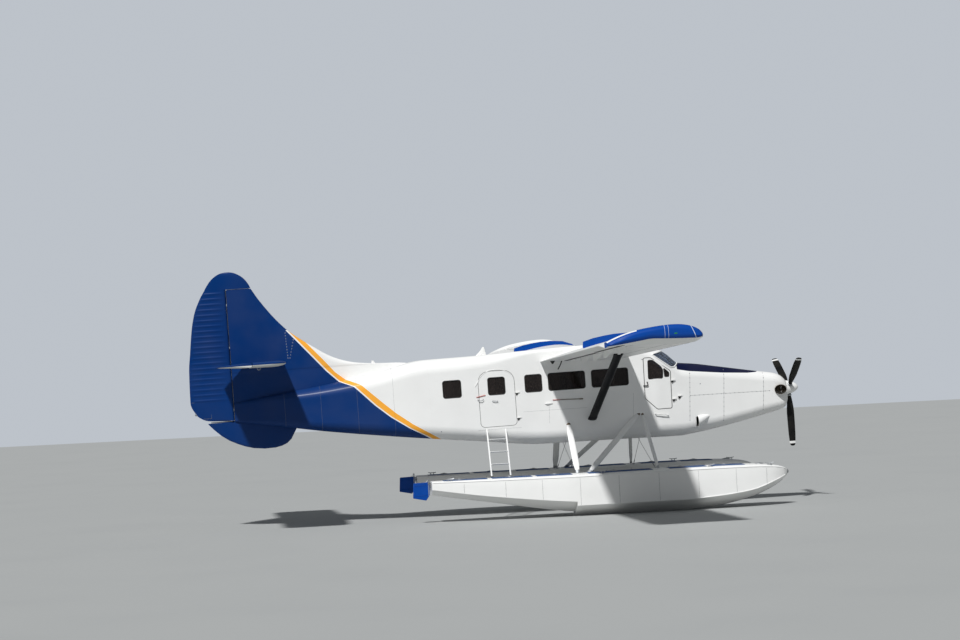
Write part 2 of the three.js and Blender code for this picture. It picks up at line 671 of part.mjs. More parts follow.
function buildTail(tailCone) {
  const finRear = TAIL_HINGE_X + RUDDER_NOSE + SURFACE_GAP;
  const finRows = [
    // z, leading edge x, half thickness
    [-400, -4760, 54],
    [255, -4790, 54],
    [303, -5060, 54],
    [319, -5400, 56],
    [336, -5700, 60],
    [386, -6088, 62],
    [526, -6519, 62],
    [776, -6933, 64],
    [1261, -7571, 60],
    [1930, -8105, 56],
    [FIN_TOP, -8262, 54],
  ];
  let fin = loft(finRows.map(([z, leading, thick]) => blade2d(leading, finRear, z, thick)));
  fin = clearOf(fin, tailCone, [0, 0, 1]);
  fin = fin.subtract(rod([ELEVATOR_HINGE_X, -200, STAB_Z], [ELEVATOR_HINGE_X, 200, STAB_Z], TORQUE_TUBE + 9, 12));

  const stabRear = ELEVATOR_HINGE_X + ELEVATOR_NOSE + SURFACE_GAP;
  const stabRows = [
    // y, leading edge x, half thickness
    [-1, -7640, 66],
    [2950, -7715, 62],
    [3130, -7775, 56],
    [STAB_HALF_SPAN, -7900, 40],
  ];
  const stabRing = ([y, leading, thick]) => [
    [leading, y, STAB_Z], [leading - 40, y, STAB_Z + thick * 0.55], [leading - 300, y, STAB_Z + thick],
    [stabRear, y, STAB_Z + thick * 0.84], [stabRear, y, STAB_Z - thick * 0.84],
    [leading - 300, y, STAB_Z - thick], [leading - 40, y, STAB_Z - thick * 0.55]];
  const half = loft(stabRows.map(stabRing));
  const elevatorOutline = [
    // y, trailing edge x
    [300, -9165], [3080, -9165], [3190, -9080], [STAB_HALF_SPAN, -8900]];
  const elevatorRing = ([y, trailing]) => {
    const nose = [0, 1, 2, 3, 4].map((step) => {
      const angle = Math.PI / 2 - (step / 4) * Math.PI;
      return [ELEVATOR_HINGE_X + ELEVATOR_NOSE * Math.cos(angle), y, STAB_Z + ELEVATOR_NOSE * Math.sin(angle)];
    });
    return [[trailing, y, STAB_Z + 5], ...nose, [trailing, y, STAB_Z - 5]];
  };
  let elevator = loft([[96, -9165], ...elevatorOutline].map(elevatorRing));
  const cutback = [[-8560, 90], [-9300, 470], [-9300, -10], [-8560, -10]];
  elevator = elevator.subtract(loft([STAB_Z - 200, STAB_Z + 200].map((z) => cutback.map(([x, y]) => [x, y, z]))));
  const tube = rod([ELEVATOR_HINGE_X, -110, STAB_Z], [ELEVATOR_HINGE_X, 110, STAB_Z], TORQUE_TUBE, 12);
  const stabilizer = half.add(mirrored(half));
  const hollow = box(
    [stabRear - 1, STAB_SPAR, STAB_Z - STAB_CORE],
    [stabRear + 620, STAB_HALF_SPAN - 180, STAB_Z + STAB_CORE],
  );
  add('airframe', 'stabilizer', stabilizer.subtract(hollow).subtract(mirrored(hollow)), 'blue');
  add('airframe', 'elevator', elevator.add(tube).add(mirrored(elevator)), 'blue');
  const slot = [stabilizer, ...[1, -1].map((way) => stabilizer.translate([0, 0, way * TOUCH])),
    ...[1, -1].map((way) => stabilizer.translate([way * TOUCH, 0, 0]))];
  slot.forEach((solid) => {
    fin = fin.subtract(solid);
  });
  [[-300, 360], [580, FIN_TOP - 60]].forEach(([low, high]) => {
    fin = fin.subtract(box([finRear - 1, -FIN_CORE, low], [finRear + 420, FIN_CORE, high]));
  });
  add('airframe', 'fin', fin, 'blue');

  add('airframe', 'rudder', rudder(), 'blue');
  const ventralOutline = [[-9423, -752], [-9135, -1045], [-8798, -1245], [-8436, -1368], [-7956, -1390],
    [-7690, -1310], [-7526, -1110], [-7440, -960], [-7800, -800], [-8840, -700]];
  const ventral = prism(ventralOutline, -22, 22).subtract(
    box([-9600, -200, -742], [TAIL_HINGE_X + RUDDER_NOSE + 20, 200, 0]));
  add('airframe', 'ventral_fin', clearOf(ventral, tailCone, [0, 0, -1]), 'blue');
}

const RUDDER_EDGE = [
  // z, trailing edge x
  [-722, -8990], [-690, -9420], [-559, -9643], [-269, -9773], [421, -9755], [829, -9706], [1395, -9626],
  [1730, -9543], [2041, -9401], [FIN_TOP + TIP_GAP, -9300],
];

function rudder() {
  const nose = (z) => [0, 1, 2, 3, 4].map((step) => {
    const angle = Math.PI / 2 - (step / 4) * Math.PI;
    return [TAIL_HINGE_X + RUDDER_NOSE * Math.cos(angle), RUDDER_NOSE * Math.sin(angle), z];
  });
  const body = loft(RUDDER_EDGE.map(([z, trailing]) => [[trailing, 5, z], ...nose(z), [trailing, -5, z]]));
  const hornRows = [
    // z, leading edge x, trailing edge x, half thickness
    [FIN_TOP + TIP_GAP, -8266, -9300, 54],
    [2281, -8300, -9254, 50],
    [2430, -8405, -9140, 40],
    [2530, -8540, -9010, 28],
    [2585, -8690, -8860, 12],
  ];
  const horn = loft(hornRows.map(([z, leading, trailing, thick]) => [
    [leading, 0, z], [leading - 60 * (thick / 54), thick * 0.6, z], [TAIL_HINGE_X * 0.5 + leading * 0.5, thick, z],
    [trailing, 4, z], [trailing, -4, z], [TAIL_HINGE_X * 0.5 + leading * 0.5, -thick, z],
    [leading - 60 * (thick / 54), -thick * 0.6, z]]));
  return body.add(horn);
}

// Floats, struts, spreaders, water rudders and ladder, in the standing frame

const FLOAT_SECTIONS = [
  // x, half deck, deck, half beam at chine, chine, keel
  [STERN_X, 225, 905, 232, 735, 610],
  [-3400, 350, 905, 365, 540, 400],
  [STEP_X - 20, 455, 905, 470, 330, 96],
];
const FLOAT_FRONT = [
  [STEP_X, 455, 905, 478, 240, 0],
  [900, 455, 925, 478, 250, 0],
  [1600, 450, 928, 468, 285, 45],
  [2400, 415, 920, 425, 376, 190],
  [2900, 330, 890, 335, 530, 372],
  [3180, 205, 838, 205, 640, 540],
  [3305, 70, 770, 66, 690, 645],
];

function floatRing([x, deckHalf, deck, chineHalf, chine, keel]) {
  const crown = 22;
  const strip = 25;
  return [[x, 0, deck + crown * (deckHalf / 455)], [x, deckHalf * 0.8, deck + 6], [x, deckHalf, deck - 45],
    [x, chineHalf, chine], [x, strip * (deckHalf / 455), keel], [x, -strip * (deckHalf / 455), keel],
    [x, -chineHalf, chine], [x, -deckHalf, deck - 45], [x, -deckHalf * 0.8, deck + 6]];
}

function floatHull(y) {
  return loft(FLOAT_SECTIONS.concat([[STEP_X + 10, 455, 905, 470, 330, 96]]).map(floatRing))
    .add(loft(FLOAT_FRONT.map(floatRing)))
    .translate([0, y, 0]);
}

function toStand(solid) {
  return solid.rotate([0, -NOSE_UP, 0]).translate([0, 0, WING_ROOT_HEIGHT]);
}

function toStandPoint([x, y, z]) {
  const turn = THREE.MathUtils.degToRad(NOSE_UP);
  return [x * Math.cos(turn) - z * Math.sin(turn), y, x * Math.sin(turn) + z * Math.cos(turn) + WING_ROOT_HEIGHT];
}

// A streamlined strut between two points, its chord fore and aft
function strut(start, end, chord, thick) {
  const from = new THREE.Vector3(...start);
  const axis = new THREE.Vector3(...end).sub(from).normalize();
  const fore = new THREE.Vector3(1, 0, 0).addScaledVector(axis, -axis.x).normalize();
  const across = axis.clone().cross(fore);
  const sides = 12;
  const ring = (centre) => Array.from({ length: sides }, (_, i) => {
    const angle = (i / sides) * Math.PI * 2;
    return centre.clone()
      .addScaledVector(fore, (chord / 2) * Math.cos(angle))
      .addScaledVector(across, (thick / 2) * Math.sin(angle))
      .toArray();
  });
  return loft([ring(from), ring(new THREE.Vector3(...end))]);
}

const FLOAT_STRUTS = [
  // name, top in the airframe's axes, foot in the standing frame, chord, thickness
  ['front', [240, 768, -1215], [414, 1650, 880], 82, 44],
  ['diagonal', [185, 768, -1212], [-1150, 1650, 880], 128, 44],
  ['rear', [-1447, 768, -1312], [-1385, 1650, 870], 145, 48],
];

function buildStand(airBody, wings) {
  const belly = toStand(airBody);
  [['left', 1], ['right', -1]].forEach(([sideName, side]) => {
    const hullSolid = floatHull(side * FLOAT_Y);
    add('stand', `float_${sideName}`, hullSolid, 'white');
    const [front, diagonal, rear] = FLOAT_STRUTS.map(([, top, foot, chord, thick]) => {
      const leg = strut(toStandPoint([top[0], side * top[1], top[2]]), [foot[0], side * foot[1], foot[2]], chord, thick);
      return clearOf(clearOf(leg, belly, [0, side, 0], [0, 0, -1]), hullSolid, [0, 0, 1]);
    });
    const nearRear = [rear, rear.translate([TOUCH, 0, 0]), rear.translate([-TOUCH, 0, 0])];
    const pair = nearRear.reduce((rest, solid) => rest.subtract(solid), front.add(diagonal));
    add('stand', `float_strut_front_${sideName}`, biggest(pair), 'white');
    add('stand', `float_strut_rear_${sideName}`, biggest(rear), 'white');
    const brace = strut(toStandPoint([-902, side * 745, -1292]), toStandPoint([-844, side * 4400, 150]), 190, 70);
    const wing = toStand(wings[sideName]);
    add('stand', `wing_strut_${sideName}`,
      biggest(clearOf(clearOf(brace, belly, [0, side, 0]), wing, [0, 0, -1])), 'navy');
    const bladeTop = DECK_Z - 10;
    const outline = [[WATER_RUDDER_X + 24, bladeTop], [WATER_RUDDER_X - 330, bladeTop - 10],
      [WATER_RUDDER_X - 350, 560], [WATER_RUDDER_X - 60, 500], [WATER_RUDDER_X + 24, 620]];
    add('stand', `water_rudder_${sideName}`, prism(outline, side * FLOAT_Y - 14, side * FLOAT_Y + 14), 'brightBlue');
  });
  [['front', 414], ['rear', -1385]].forEach(([name, x]) => {
    const reach = FLOAT_Y - 440;
    let bar = rod([x, -reach, 780], [x, reach, 780], 45, 12);
    [1, -1].forEach((side) => {
      bar = clearOf(bar, floatHull(side * FLOAT_Y), [0, -side, 0]);
    });
    add('stand', `spreader_${name}`, bar, 'white');
  });
  buildLadder(belly);
}

function biggest(solid) {
  const pieces = solid.decompose();
  return pieces.reduce((best, piece) => (piece.volume() > best.volume() ? piece : best));
}

const LADDER = { front: -2790, rear: -3210, topY: -838, footY: -1330, rung: 270, rungs: 4, rail: 20 };

function buildLadder(belly) {
  const { front, rear, topY, footY, rung, rungs, rail } = LADDER;
  const top = toStandPoint([(front + rear) / 2, topY, FLOOR - 30])[2];
  const foot = DECK_Z + 12;
  const yAt = (z) => footY + ((z - foot) / (top - foot)) * (topY - footY);
  let ladder = rod([rear, topY, top], [rear, footY, foot], rail, 8)
    .add(rod([front, topY, top], [front, footY, foot], rail, 8));
  for (let step = 1; step <= rungs; step += 1) {
    const z = foot + step * rung;
    ladder = ladder.add(rod([rear, yAt(z), z], [front, yAt(z), z], 15, 8));
  }
  ladder = ladder.add(rod([rear, topY, top - 20], [front, topY, top - 20], 15, 8));
  ladder = clearOf(ladder, floatHull(-FLOAT_Y), [0, 0, 1]);
  add('stand', 'boarding_ladder', biggest(clearOf(ladder, belly, [0, -1, 0])), 'white');
}

// Assembly

function meshOf([name, solid, paint]) {
  const { vertProperties, triVerts } = solid.getMesh();
  const geometry = new THREE.BufferGeometry();
  geometry.setAttribute('position', new THREE.BufferAttribute(new Float32Array(vertProperties), 3));
  geometry.setIndex(new THREE.BufferAttribute(new Uint32Array(triVerts), 1));
  geometry.computeVertexNormals();
  const [color, roughness, metalness] = PAINT[paint];
  const mesh = new THREE.Mesh(geometry, new THREE.MeshStandardMaterial({ color, roughness, metalness }));
  mesh.name = name;
  return mesh;
}

buildCabin();
buildFittings();
buildNose();
const tailOuter = hull(TAIL_SECTIONS);
const tailHollow = core(TAIL_SECTIONS, TAIL_WALL, 900, -1);
add('airframe', 'tail_cone', tailOuter.subtract(tailHollow), 'white');
const wings = { left: buildWing('left', false), right: buildWing('right', true) };
buildTail(tailOuter);
buildStand(cabinOuter, wings);

const floatplane = new THREE.Group();
floatplane.position.x = CENTRE_SHIFT;
const airframe = new THREE.Group();
airframe.rotation.y = -THREE.MathUtils.degToRad(NOSE_UP);
airframe.position.z = WING_ROOT_HEIGHT;
airframe.add(...nodes.airframe.map(meshOf));
floatplane.add(airframe, ...nodes.stand.map(meshOf));

export default floatplane;
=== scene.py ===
# %% [markdown]
# # A utility floatplane
# The construction comes from the frame: real sizes, places and joints. This script gives it its looks.
# Finished lengths are metres, +X is forward, +Y is port and +Z is up.
# The tables below are in millimetres, because aircraft drawings are.

# %% Load the frame
import math

import bmesh
import bpy
import numpy as np
from mathutils import Matrix, Vector


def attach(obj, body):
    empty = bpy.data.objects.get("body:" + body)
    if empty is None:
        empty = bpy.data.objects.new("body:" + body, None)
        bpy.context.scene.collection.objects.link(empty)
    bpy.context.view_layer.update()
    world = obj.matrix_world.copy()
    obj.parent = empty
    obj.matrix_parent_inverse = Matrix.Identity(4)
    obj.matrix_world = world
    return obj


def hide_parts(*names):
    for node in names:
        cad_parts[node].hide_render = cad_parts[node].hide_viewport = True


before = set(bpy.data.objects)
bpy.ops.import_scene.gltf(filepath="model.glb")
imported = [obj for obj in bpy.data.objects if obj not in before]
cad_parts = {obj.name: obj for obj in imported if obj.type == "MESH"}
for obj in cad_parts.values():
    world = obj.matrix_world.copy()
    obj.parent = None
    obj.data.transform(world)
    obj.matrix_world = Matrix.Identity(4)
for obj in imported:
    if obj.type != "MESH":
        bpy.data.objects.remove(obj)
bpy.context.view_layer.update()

# %% [markdown]
# The airplane sits nose-up on its floats, so there are two sets of axes.
# AIR takes a point drawn on the level airframe to its real place, and STAND does so for the floats and legs.

# %% Two sets of axes
MM = Matrix.Scale(0.001, 4)
SHIFT = Matrix.Translation((2.875, 0, 0))
LIFT = Matrix.Translation((0, 0, 3.376))
NOSE_UP = Matrix.Rotation(math.radians(-1.5), 4, "Y")
AIR = SHIFT @ LIFT @ NOSE_UP @ MM
STAND = SHIFT @ MM
print("wing root underside at the leading edge:", AIR @ Vector((0, 0, 0)))

# %% [markdown]
# The camera stands abeam of the starboard side, low over the water, with a long lens.
# A long lens far away keeps the near and far wing tips almost the same size.

# %% Camera
CAMERA_PLACE = Vector((-7.081, -54.562, 3.359))
CAMERA_AZIMUTH = math.radians(-7.0686)
CAMERA_PITCH = math.radians(-1.1037)
CAMERA_ROLL = math.radians(-2.7134)
LENS, SENSOR, FAR_CLIP = 91.26, 36, 500


def add_camera():
    back = Vector((math.sin(CAMERA_AZIMUTH) * math.cos(CAMERA_PITCH),
                   -math.cos(CAMERA_AZIMUTH) * math.cos(CAMERA_PITCH),
                   math.sin(CAMERA_PITCH)))
    right = Vector((math.cos(CAMERA_AZIMUTH), math.sin(CAMERA_AZIMUTH), 0))
    up = back.cross(right)
    rolled_right = right * math.cos(CAMERA_ROLL) + up * math.sin(CAMERA_ROLL)
    rolled_up = up * math.cos(CAMERA_ROLL) - right * math.sin(CAMERA_ROLL)
    data = bpy.data.cameras.new("camera")
    data.sensor_width = SENSOR
    data.lens = LENS
    data.clip_end = FAR_CLIP
    camera = bpy.data.objects.new("camera", data)
    bpy.context.scene.collection.objects.link(camera)
    axes = Matrix((rolled_right, rolled_up, back)).transposed().to_4x4()
    camera.matrix_world = Matrix.Translation(CAMERA_PLACE) @ axes
    bpy.context.scene.camera = camera


add_camera()
print("camera at", CAMERA_PLACE)

# %% [markdown]
# Paint on an airplane is glossy and even, with a little grime.
# Each finish starts from one colour, and a soft noise in object coordinates makes it slightly uneven.
# Object coordinates keep the pattern on the part when a door or a flap turns.

# %% Node helpers
AGED = -1
GRIME = "9a9384"


def new_material(name):
    material = bpy.data.materials.new(name)
    material.use_nodes = True
    tree = material.node_tree
    return material, tree, tree.nodes["Principled BSDF"]


def node(tree, kind, inputs=(), **settings):
    made = tree.nodes.new("ShaderNode" + kind)
    for key, value in settings.items():
        setattr(made, key, value)
    for key, value in dict(inputs).items():
        socket = made.inputs[key]
        if isinstance(value, bpy.types.NodeSocket):
            tree.links.new(value, socket)
        else:
            socket.default_value = value
    return made


def calc(tree, operation, a, b=0.0, clamp=False):
    return node(tree, "Math", {0: a, 1: b}, operation=operation, use_clamp=clamp).outputs[0]


def blend_colors(tree, factor, a, b):
    made = node(tree, "Mix", {0: factor, 6: a, 7: b}, data_type="RGBA")
    return made.outputs[2]


def place_of(tree):
    return node(tree, "TexCoord").outputs["Object"]


def cloud(tree, scale, detail=3.0, stretch=(1, 1, 1)):
    mapped = node(tree, "Mapping", {"Vector": place_of(tree), "Scale": stretch})
    return node(tree, "TexNoise", {"Vector": mapped.outputs[0], "Scale": scale, "Detail": detail}).outputs[0]


def rgb(hexcode):
    """A linear colour from the usual six digits."""
    parts = [int(hexcode[i:i + 2], 16) / 255 for i in (0, 2, 4)]
    return tuple(p / 12.92 if p <= 0.04045 else ((p + 0.055) / 1.055) ** 2.4 for p in parts) + (1.0,)


def shaded(hexcode, share):
    """The same colour with only a share of its light."""
    return tuple(part * share for part in rgb(hexcode)[:3]) + (1.0,)


def weather(tree, shader, color, dark, scale, roughness, relief):
    """Uneven colour, uneven gloss and a faint waviness, from two noises."""
    patches = cloud(tree, scale)
    share = node(tree, "MapRange", {0: patches, 1: 0.35, 2: 0.75, 3: 0.0, 4: dark}).outputs[0]
    tree.links.new(blend_colors(tree, share, color, shaded(GRIME, 0.55)), shader.inputs["Base Color"])
    gloss = node(tree, "MapRange", {0: patches, 1: 0.3, 2: 0.7, 3: roughness * 0.85, 4: roughness * 1.2})
    tree.links.new(gloss.outputs[0], shader.inputs["Roughness"])
    if relief:
        bump = node(tree, "Bump", {"Height": cloud(tree, 2.2, 1.0), "Strength": relief, "Distance": 0.01})
        tree.links.new(bump.outputs[0], shader.inputs["Normal"])


def calm(shader):
    """Aged gloss paint mirrors less than new."""
    shader.inputs["Coat Weight"].default_value = 0.05
    shader.inputs["Coat Roughness"].default_value = 0.2
    shader.inputs["Specular IOR Level"].default_value = 0.13


def finish(name, color, roughness=0.35, metallic=0.0, coat=0.0, dark=0.06, scale=1.5, relief=0.0):
    material, tree, shader = new_material(name)
    shader.inputs["Metallic"].default_value = metallic
    if coat == AGED:
        calm(shader)
    else:
        shader.inputs["Coat Weight"].default_value = coat
    weather(tree, shader, rgb(color), dark, scale, roughness, relief)
    return material


WHITE, DEEP_BLUE, BRIGHT_BLUE, YELLOW, GLARE_BLUE = "eeeeec", "00306c", "00439a", "f9ad3c", "0c1334"
white_paint = finish("white paint", WHITE, 0.36, coat=AGED, relief=0.15)
tip_blue = finish("bright blue paint", BRIGHT_BLUE, 0.32, coat=AGED, dark=0.03)
navy_paint = finish("navy paint", "020309", 0.5, coat=AGED, dark=0.03)
black_rubber = finish("black rubber", "111214", 0.65, scale=20, dark=0.15)
seam_grey = finish("seam shadow", "6d7072", 0.6, scale=9)
steel = finish("bare steel", "9a9ca0", 0.32, metallic=0.9, scale=12)
blade_black = finish("propeller black", "0b0c0d", 0.5, coat=AGED, scale=5, dark=0.08)
# Heat stain on the exhaust stubs; on the float strut top cuffs the same dark steel is painted shade.
stain_and_shade_steel = finish("heat-stained steel and painted shade", "6b5c4c", 0.42, metallic=0.85, scale=14, dark=0.4)
# Real soot inside the exhaust stubs; inside the side outlets the same black is painted shade.
soot_and_shade_black = finish("soot", "14130f", 0.9, scale=8)
engine_metal = finish("engine metal", "5d6063", 0.5, metallic=0.7, scale=6)
deck_grip = finish("blue deck grip", "1d4a80", 0.9, scale=60, dark=0.3)
alloy = finish("bare alloy", "b4b7ba", 0.4, metallic=0.8, scale=8)
red_paint = finish("red paint", "b8352a", 0.4, dark=0.1)
lining = finish("cabin lining", "b9b2a4", 0.8, scale=5)
carpet = finish("carpet", "3a3d42", 1.0, scale=40, dark=0.3)
panel_black = finish("instrument panel black", "17191b", 0.7, scale=10)
print(len(bpy.data.materials), "materials")

# %% [markdown]
# The fuselage colours are masked off on the real airplane along long bent lines.
# The same is done here with two curves: at each height they say how far aft the blue and the yellow begin.
# A third line bounds the dark anti-glare panel on top of the nose.

# %% Livery
BLUE_EDGE = [
    # height, and where the blue ends, in metres on the level airframe
    (-1.60, -4.28), (-1.38, -4.63), (-1.18, -4.99), (-0.894, -5.40), (-0.615, -5.72), (-0.16, -6.16),
    (-0.04, -6.44), (0.228, -6.715), (0.526, -6.97), (0.892, -7.284), (1.212, -7.561), (1.25, -7.30),
    (2.3, -7.20)]
YELLOW_EDGE = [
    (-1.60, -4.08), (-1.417, -4.39), (-1.10, -4.90), (-0.819, -5.268), (-0.56, -5.55), (-0.13, -6.00),
    (0.00, -6.29), (0.192, -6.519), (0.462, -6.74), (0.760, -7.00), (1.047, -7.25), (1.20, -7.20), (2.3, -7.10)]
PINSTRIPE, GLARE_REAR, GLARE_FRONT = 0.04, 1.13, 3.24
GLARE_EDGE = [
    # how far forward, and the lower edge of the dark panel
    (1.00, -0.285), (1.409, -0.371), (2.209, -0.465), (2.818, -0.512), (3.02, -0.508), (3.15, -0.47),
    (3.24, -0.40)]


def edge_curve(tree, value, points):
    """A curve node through the points, in their own units."""
    keys, levels = zip(*points)
    low, high = min(levels), max(levels)
    share = node(tree, "MapRange", {0: value, 1: keys[0], 2: keys[-1], 3: 0.0, 4: 1.0}).outputs[0]
    curve = node(tree, "FloatCurve", {"Value": share})
    line = curve.mapping.curves[0]
    flat = [((key - keys[0]) / (keys[-1] - keys[0]), (level - low) / (high - low)) for key, level in points]
    line.points[0].location, line.points[1].location = flat[0], flat[-1]
    for point in flat[1:-1]:
        line.points.new(*point)
    for point in line.points:
        point.handle_type = "VECTOR"
    curve.mapping.update()
    return node(tree, "MapRange", {0: curve.outputs[0], 1: 0.0, 2: 1.0, 3: low, 4: high}).outputs[0]


def side_of(tree, value, edge):
    """1 where the value is over the edge, with a hair-wide soft step."""
    return calc(tree, "MULTIPLY", calc(tree, "SUBTRACT", value, edge), 400.0, clamp=True)


def airframe_axes(tree):
    """Object coordinates turned back to the level airframe: along, across and height, in metres."""
    level = NOSE_UP.inverted() @ LIFT.inverted() @ SHIFT.inverted()
    mapped = node(tree, "Mapping", {
        "Vector": place_of(tree), "Location": level.to_translation(), "Rotation": level.to_euler()})
    return node(tree, "SeparateXYZ", {0: mapped.outputs[0]}).outputs[:]


def livery():
    material, tree, shader = new_material("fuselage livery")
    along, _, height = airframe_axes(tree)
    blue = edge_curve(tree, height, BLUE_EDGE)
    yellow = edge_curve(tree, height, YELLOW_EDGE)
    color = blend_colors(tree, side_of(tree, along, blue), rgb(DEEP_BLUE), rgb(WHITE))
    stripe = calc(tree, "SUBTRACT", side_of(tree, along, calc(tree, "ADD", blue, PINSTRIPE)),
                  side_of(tree, along, yellow), clamp=True)
    color = blend_colors(tree, stripe, color, rgb(YELLOW))
    length = calc(tree, "MULTIPLY", side_of(tree, along, GLARE_REAR), side_of(tree, GLARE_FRONT, along))
    glare = calc(tree, "MULTIPLY", side_of(tree, height, edge_curve(tree, along, GLARE_EDGE)), length)
    color = blend_colors(tree, glare, color, rgb(GLARE_BLUE))
    calm(shader)
    weather(tree, shader, color, 0.06, 1.5, 0.48, 0.15)
    return material


fuselage_paint = livery()
tail_blue = finish("tail blue paint", DEEP_BLUE, 0.36, coat=AGED, dark=0.04, relief=0.1)
print("livery between", BLUE_EDGE[0], "and", BLUE_EDGE[-1])

# %% [markdown]
# Window panes are thin acrylic, lightly tinted, with a sharp reflection.
# A glass shader with most of its light let through keeps the seats visible behind it.

# %% Glass
def glass(name, tint, roughness=0.02):
    material, tree, shader = new_material(name)
    shader.inputs["Transmission Weight"].default_value = 0.9
    shader.inputs["IOR"].default_value = 1.35
    shade = cloud(tree, 3.0)
    tree.links.new(blend_colors(tree, shade, rgb(tint), shaded(tint, 0.8)), shader.inputs["Base Color"])
    shader.inputs["Roughness"].default_value = roughness
    return material


window_glass = glass("window acrylic", "776d69")
screen_glass = glass("windshield acrylic", "b7c3d6")
clear_lens = glass("clear lens", "e8edef")
red_lens = finish("red lens", "b3130f", 0.1, coat=1.0)
green_lens = finish("green lens", "0c7a3a", 0.1, coat=1.0)
print("glass ready")

# %% [markdown]
# The wing tips and the tailplane have marks of their own, each masked by a rule over the airframe's metres.

# %% Masked paints
def masked(name, base, mark, mask, roughness=0.3):
    """Paint of one colour with marks of another, where the mask over level airframe metres says."""
    material, tree, shader = new_material(name)
    share = mask(tree, *airframe_axes(tree))
    calm(shader)
    weather(tree, shader, blend_colors(tree, share, rgb(base), rgb(mark)), 0.04, 1.5, roughness, 0.1)
    return material


def near(tree, value, centre, half):
    """1 within a half width of the centre."""
    return side_of(tree, half, calc(tree, "ABSOLUTE", calc(tree, "SUBTRACT", value, centre)))


def tip_lines_and_highlight(tree, along, across, height):
    """Thin white lines across the tip, and a painted highlight just behind its leading edge, along the rounded
    nose.
    """
    pair = calc(tree, "MAXIMUM", *[near(tree, along, place, 0.004) for place in PAIR])
    lean = calc(tree, "MULTIPLY", calc(tree, "SUBTRACT", height, 0.40), 0.35)
    return calc(tree, "MAXIMUM", pair, near(tree, calc(tree, "ADD", along, lean), NOSE_HIGHLIGHT, 0.008))


def underside(tree, along, across, height):
    """The tailplane is white below its middle."""
    return side_of(tree, UNDERSIDE, height)


# The second value places a painted highlight along the rounded nose of the tip.
PAIR, NOSE_HIGHLIGHT, UNDERSIDE = (-0.727, -0.655), -0.135, 0.462
tip_paint = masked("tip paint", BRIGHT_BLUE, "c9d4e4", tip_lines_and_highlight, 0.32)
tailplane_paint = masked("tailplane paint", DEEP_BLUE, "d2d4d1", underside, 0.36)
print("masked paints ready")

# %% [markdown]
# A finish is shared by all its pieces, and the finishes are grouped under named slots of the part.

# %% Slots
SLOTS = {
    "panel_black": (black_rubber, seam_grey, soot_and_shade_black, panel_black),
    "exhaust_steel": (steel, stain_and_shade_steel, alloy, red_paint),
    "bright_blue_paint": (tip_blue, tip_paint, deck_grip),
    "tail_blue_paint": (tail_blue, tailplane_paint),
    "navy_paint": (navy_paint,),
    "window_glass": (window_glass, screen_glass, red_lens, green_lens, clear_lens),
    "propeller_black": (blade_black,),
}
SLOT_OF = {material.name: slot for slot, group in SLOTS.items() for material in group}
print(len(SLOT_OF), "finishes outside the white paint slot")

# %% [markdown]
# Most of this airplane is a skin stretched over a row of sections.
# A grid has the right number of faces from the start, so each grid point is moved onto its section,
# the seam is merged and the ends are closed. It is the quickest way to a clean shell of quads.

# %% Skins through sections
def loft(rings, closed=True):
    rings = np.asarray(rings, float)
    count, around = rings.shape[:2]
    bm = bmesh.new()
    bmesh.ops.create_grid(bm, x_segments=count - 1, y_segments=around, size=0.5)
    for vert in bm.verts:
        row = round((vert.co.x + 0.5) * (count - 1))
        column = round((vert.co.y + 0.5) * around) % around
        vert.co = rings[row, column]
    bmesh.ops.remove_doubles(bm, verts=bm.verts, dist=0.01)
    if closed:
        bmesh.ops.holes_fill(bm, edges=[edge for edge in bm.edges if edge.is_boundary], sides=0)
    bmesh.ops.recalc_face_normals(bm, faces=bm.faces)
    return bm


def turns(count):
    """Angles evenly round a circle."""
    return [i / count * 2 * math.pi for i in range(count)]


def both_sides(half, put):
    """Half a section and its mirror image. The function put places each point."""
    return [put(a, b) for a, b in half] + [put(a, -b) for a, b in half[:0:-1]]


def quarter_round(share):
    """From 0 up to 1 along a quarter of a circle, and then level."""
    return math.sqrt(max(0.0, 1 - (1 - min(1.0, share)) ** 2))


def rounded(bm, offset, segments=2, edges=None):
    """Edges are bevelled round, all of them unless some are named."""
    bmesh.ops.bevel(bm, geom=edges or bm.edges[:], offset=offset, affect="EDGES", segments=segments,
                    profile=0.5, material=-1)
    return bm


def mirrored(bm):
    copy = bm.copy()
    bmesh.ops.scale(copy, vec=(1, -1, 1), verts=copy.verts)
    bmesh.ops.reverse_faces(copy, faces=copy.faces)
    return copy


def joined(parts):
    """Several bmeshes as one."""
    whole = bmesh.new()
    for part in parts:
        mesh = bpy.data.meshes.new("part")
        part.to_mesh(mesh)
        whole.from_mesh(mesh)
        bpy.data.meshes.remove(mesh)
        part.free()
    return whole


def boolean(body, tool, operation="DIFFERENCE"):
    """The tool is cut out of the body, or kept, or added."""
    objects = []
    for bm in (body, tool):
        mesh = bpy.data.meshes.new("temporary")
        bm.to_mesh(mesh)
        objects.append(bpy.data.objects.new("temporary", mesh))
        bpy.context.scene.collection.objects.link(objects[-1])
        bm.free()
    modifier = objects[0].modifiers.new("cut", "BOOLEAN")
    modifier.operation = operation
    modifier.solver = "EXACT"
    modifier.object = objects[1]
    graph = bpy.context.evaluated_depsgraph_get()
    result = bmesh.new()
    result.from_mesh(bpy.data.meshes.new_from_object(objects[0].evaluated_get(graph)))
    for obj in objects:
        bpy.data.objects.remove(obj)
    bmesh.ops.remove_doubles(result, verts=result.verts, dist=0.01)
    return result


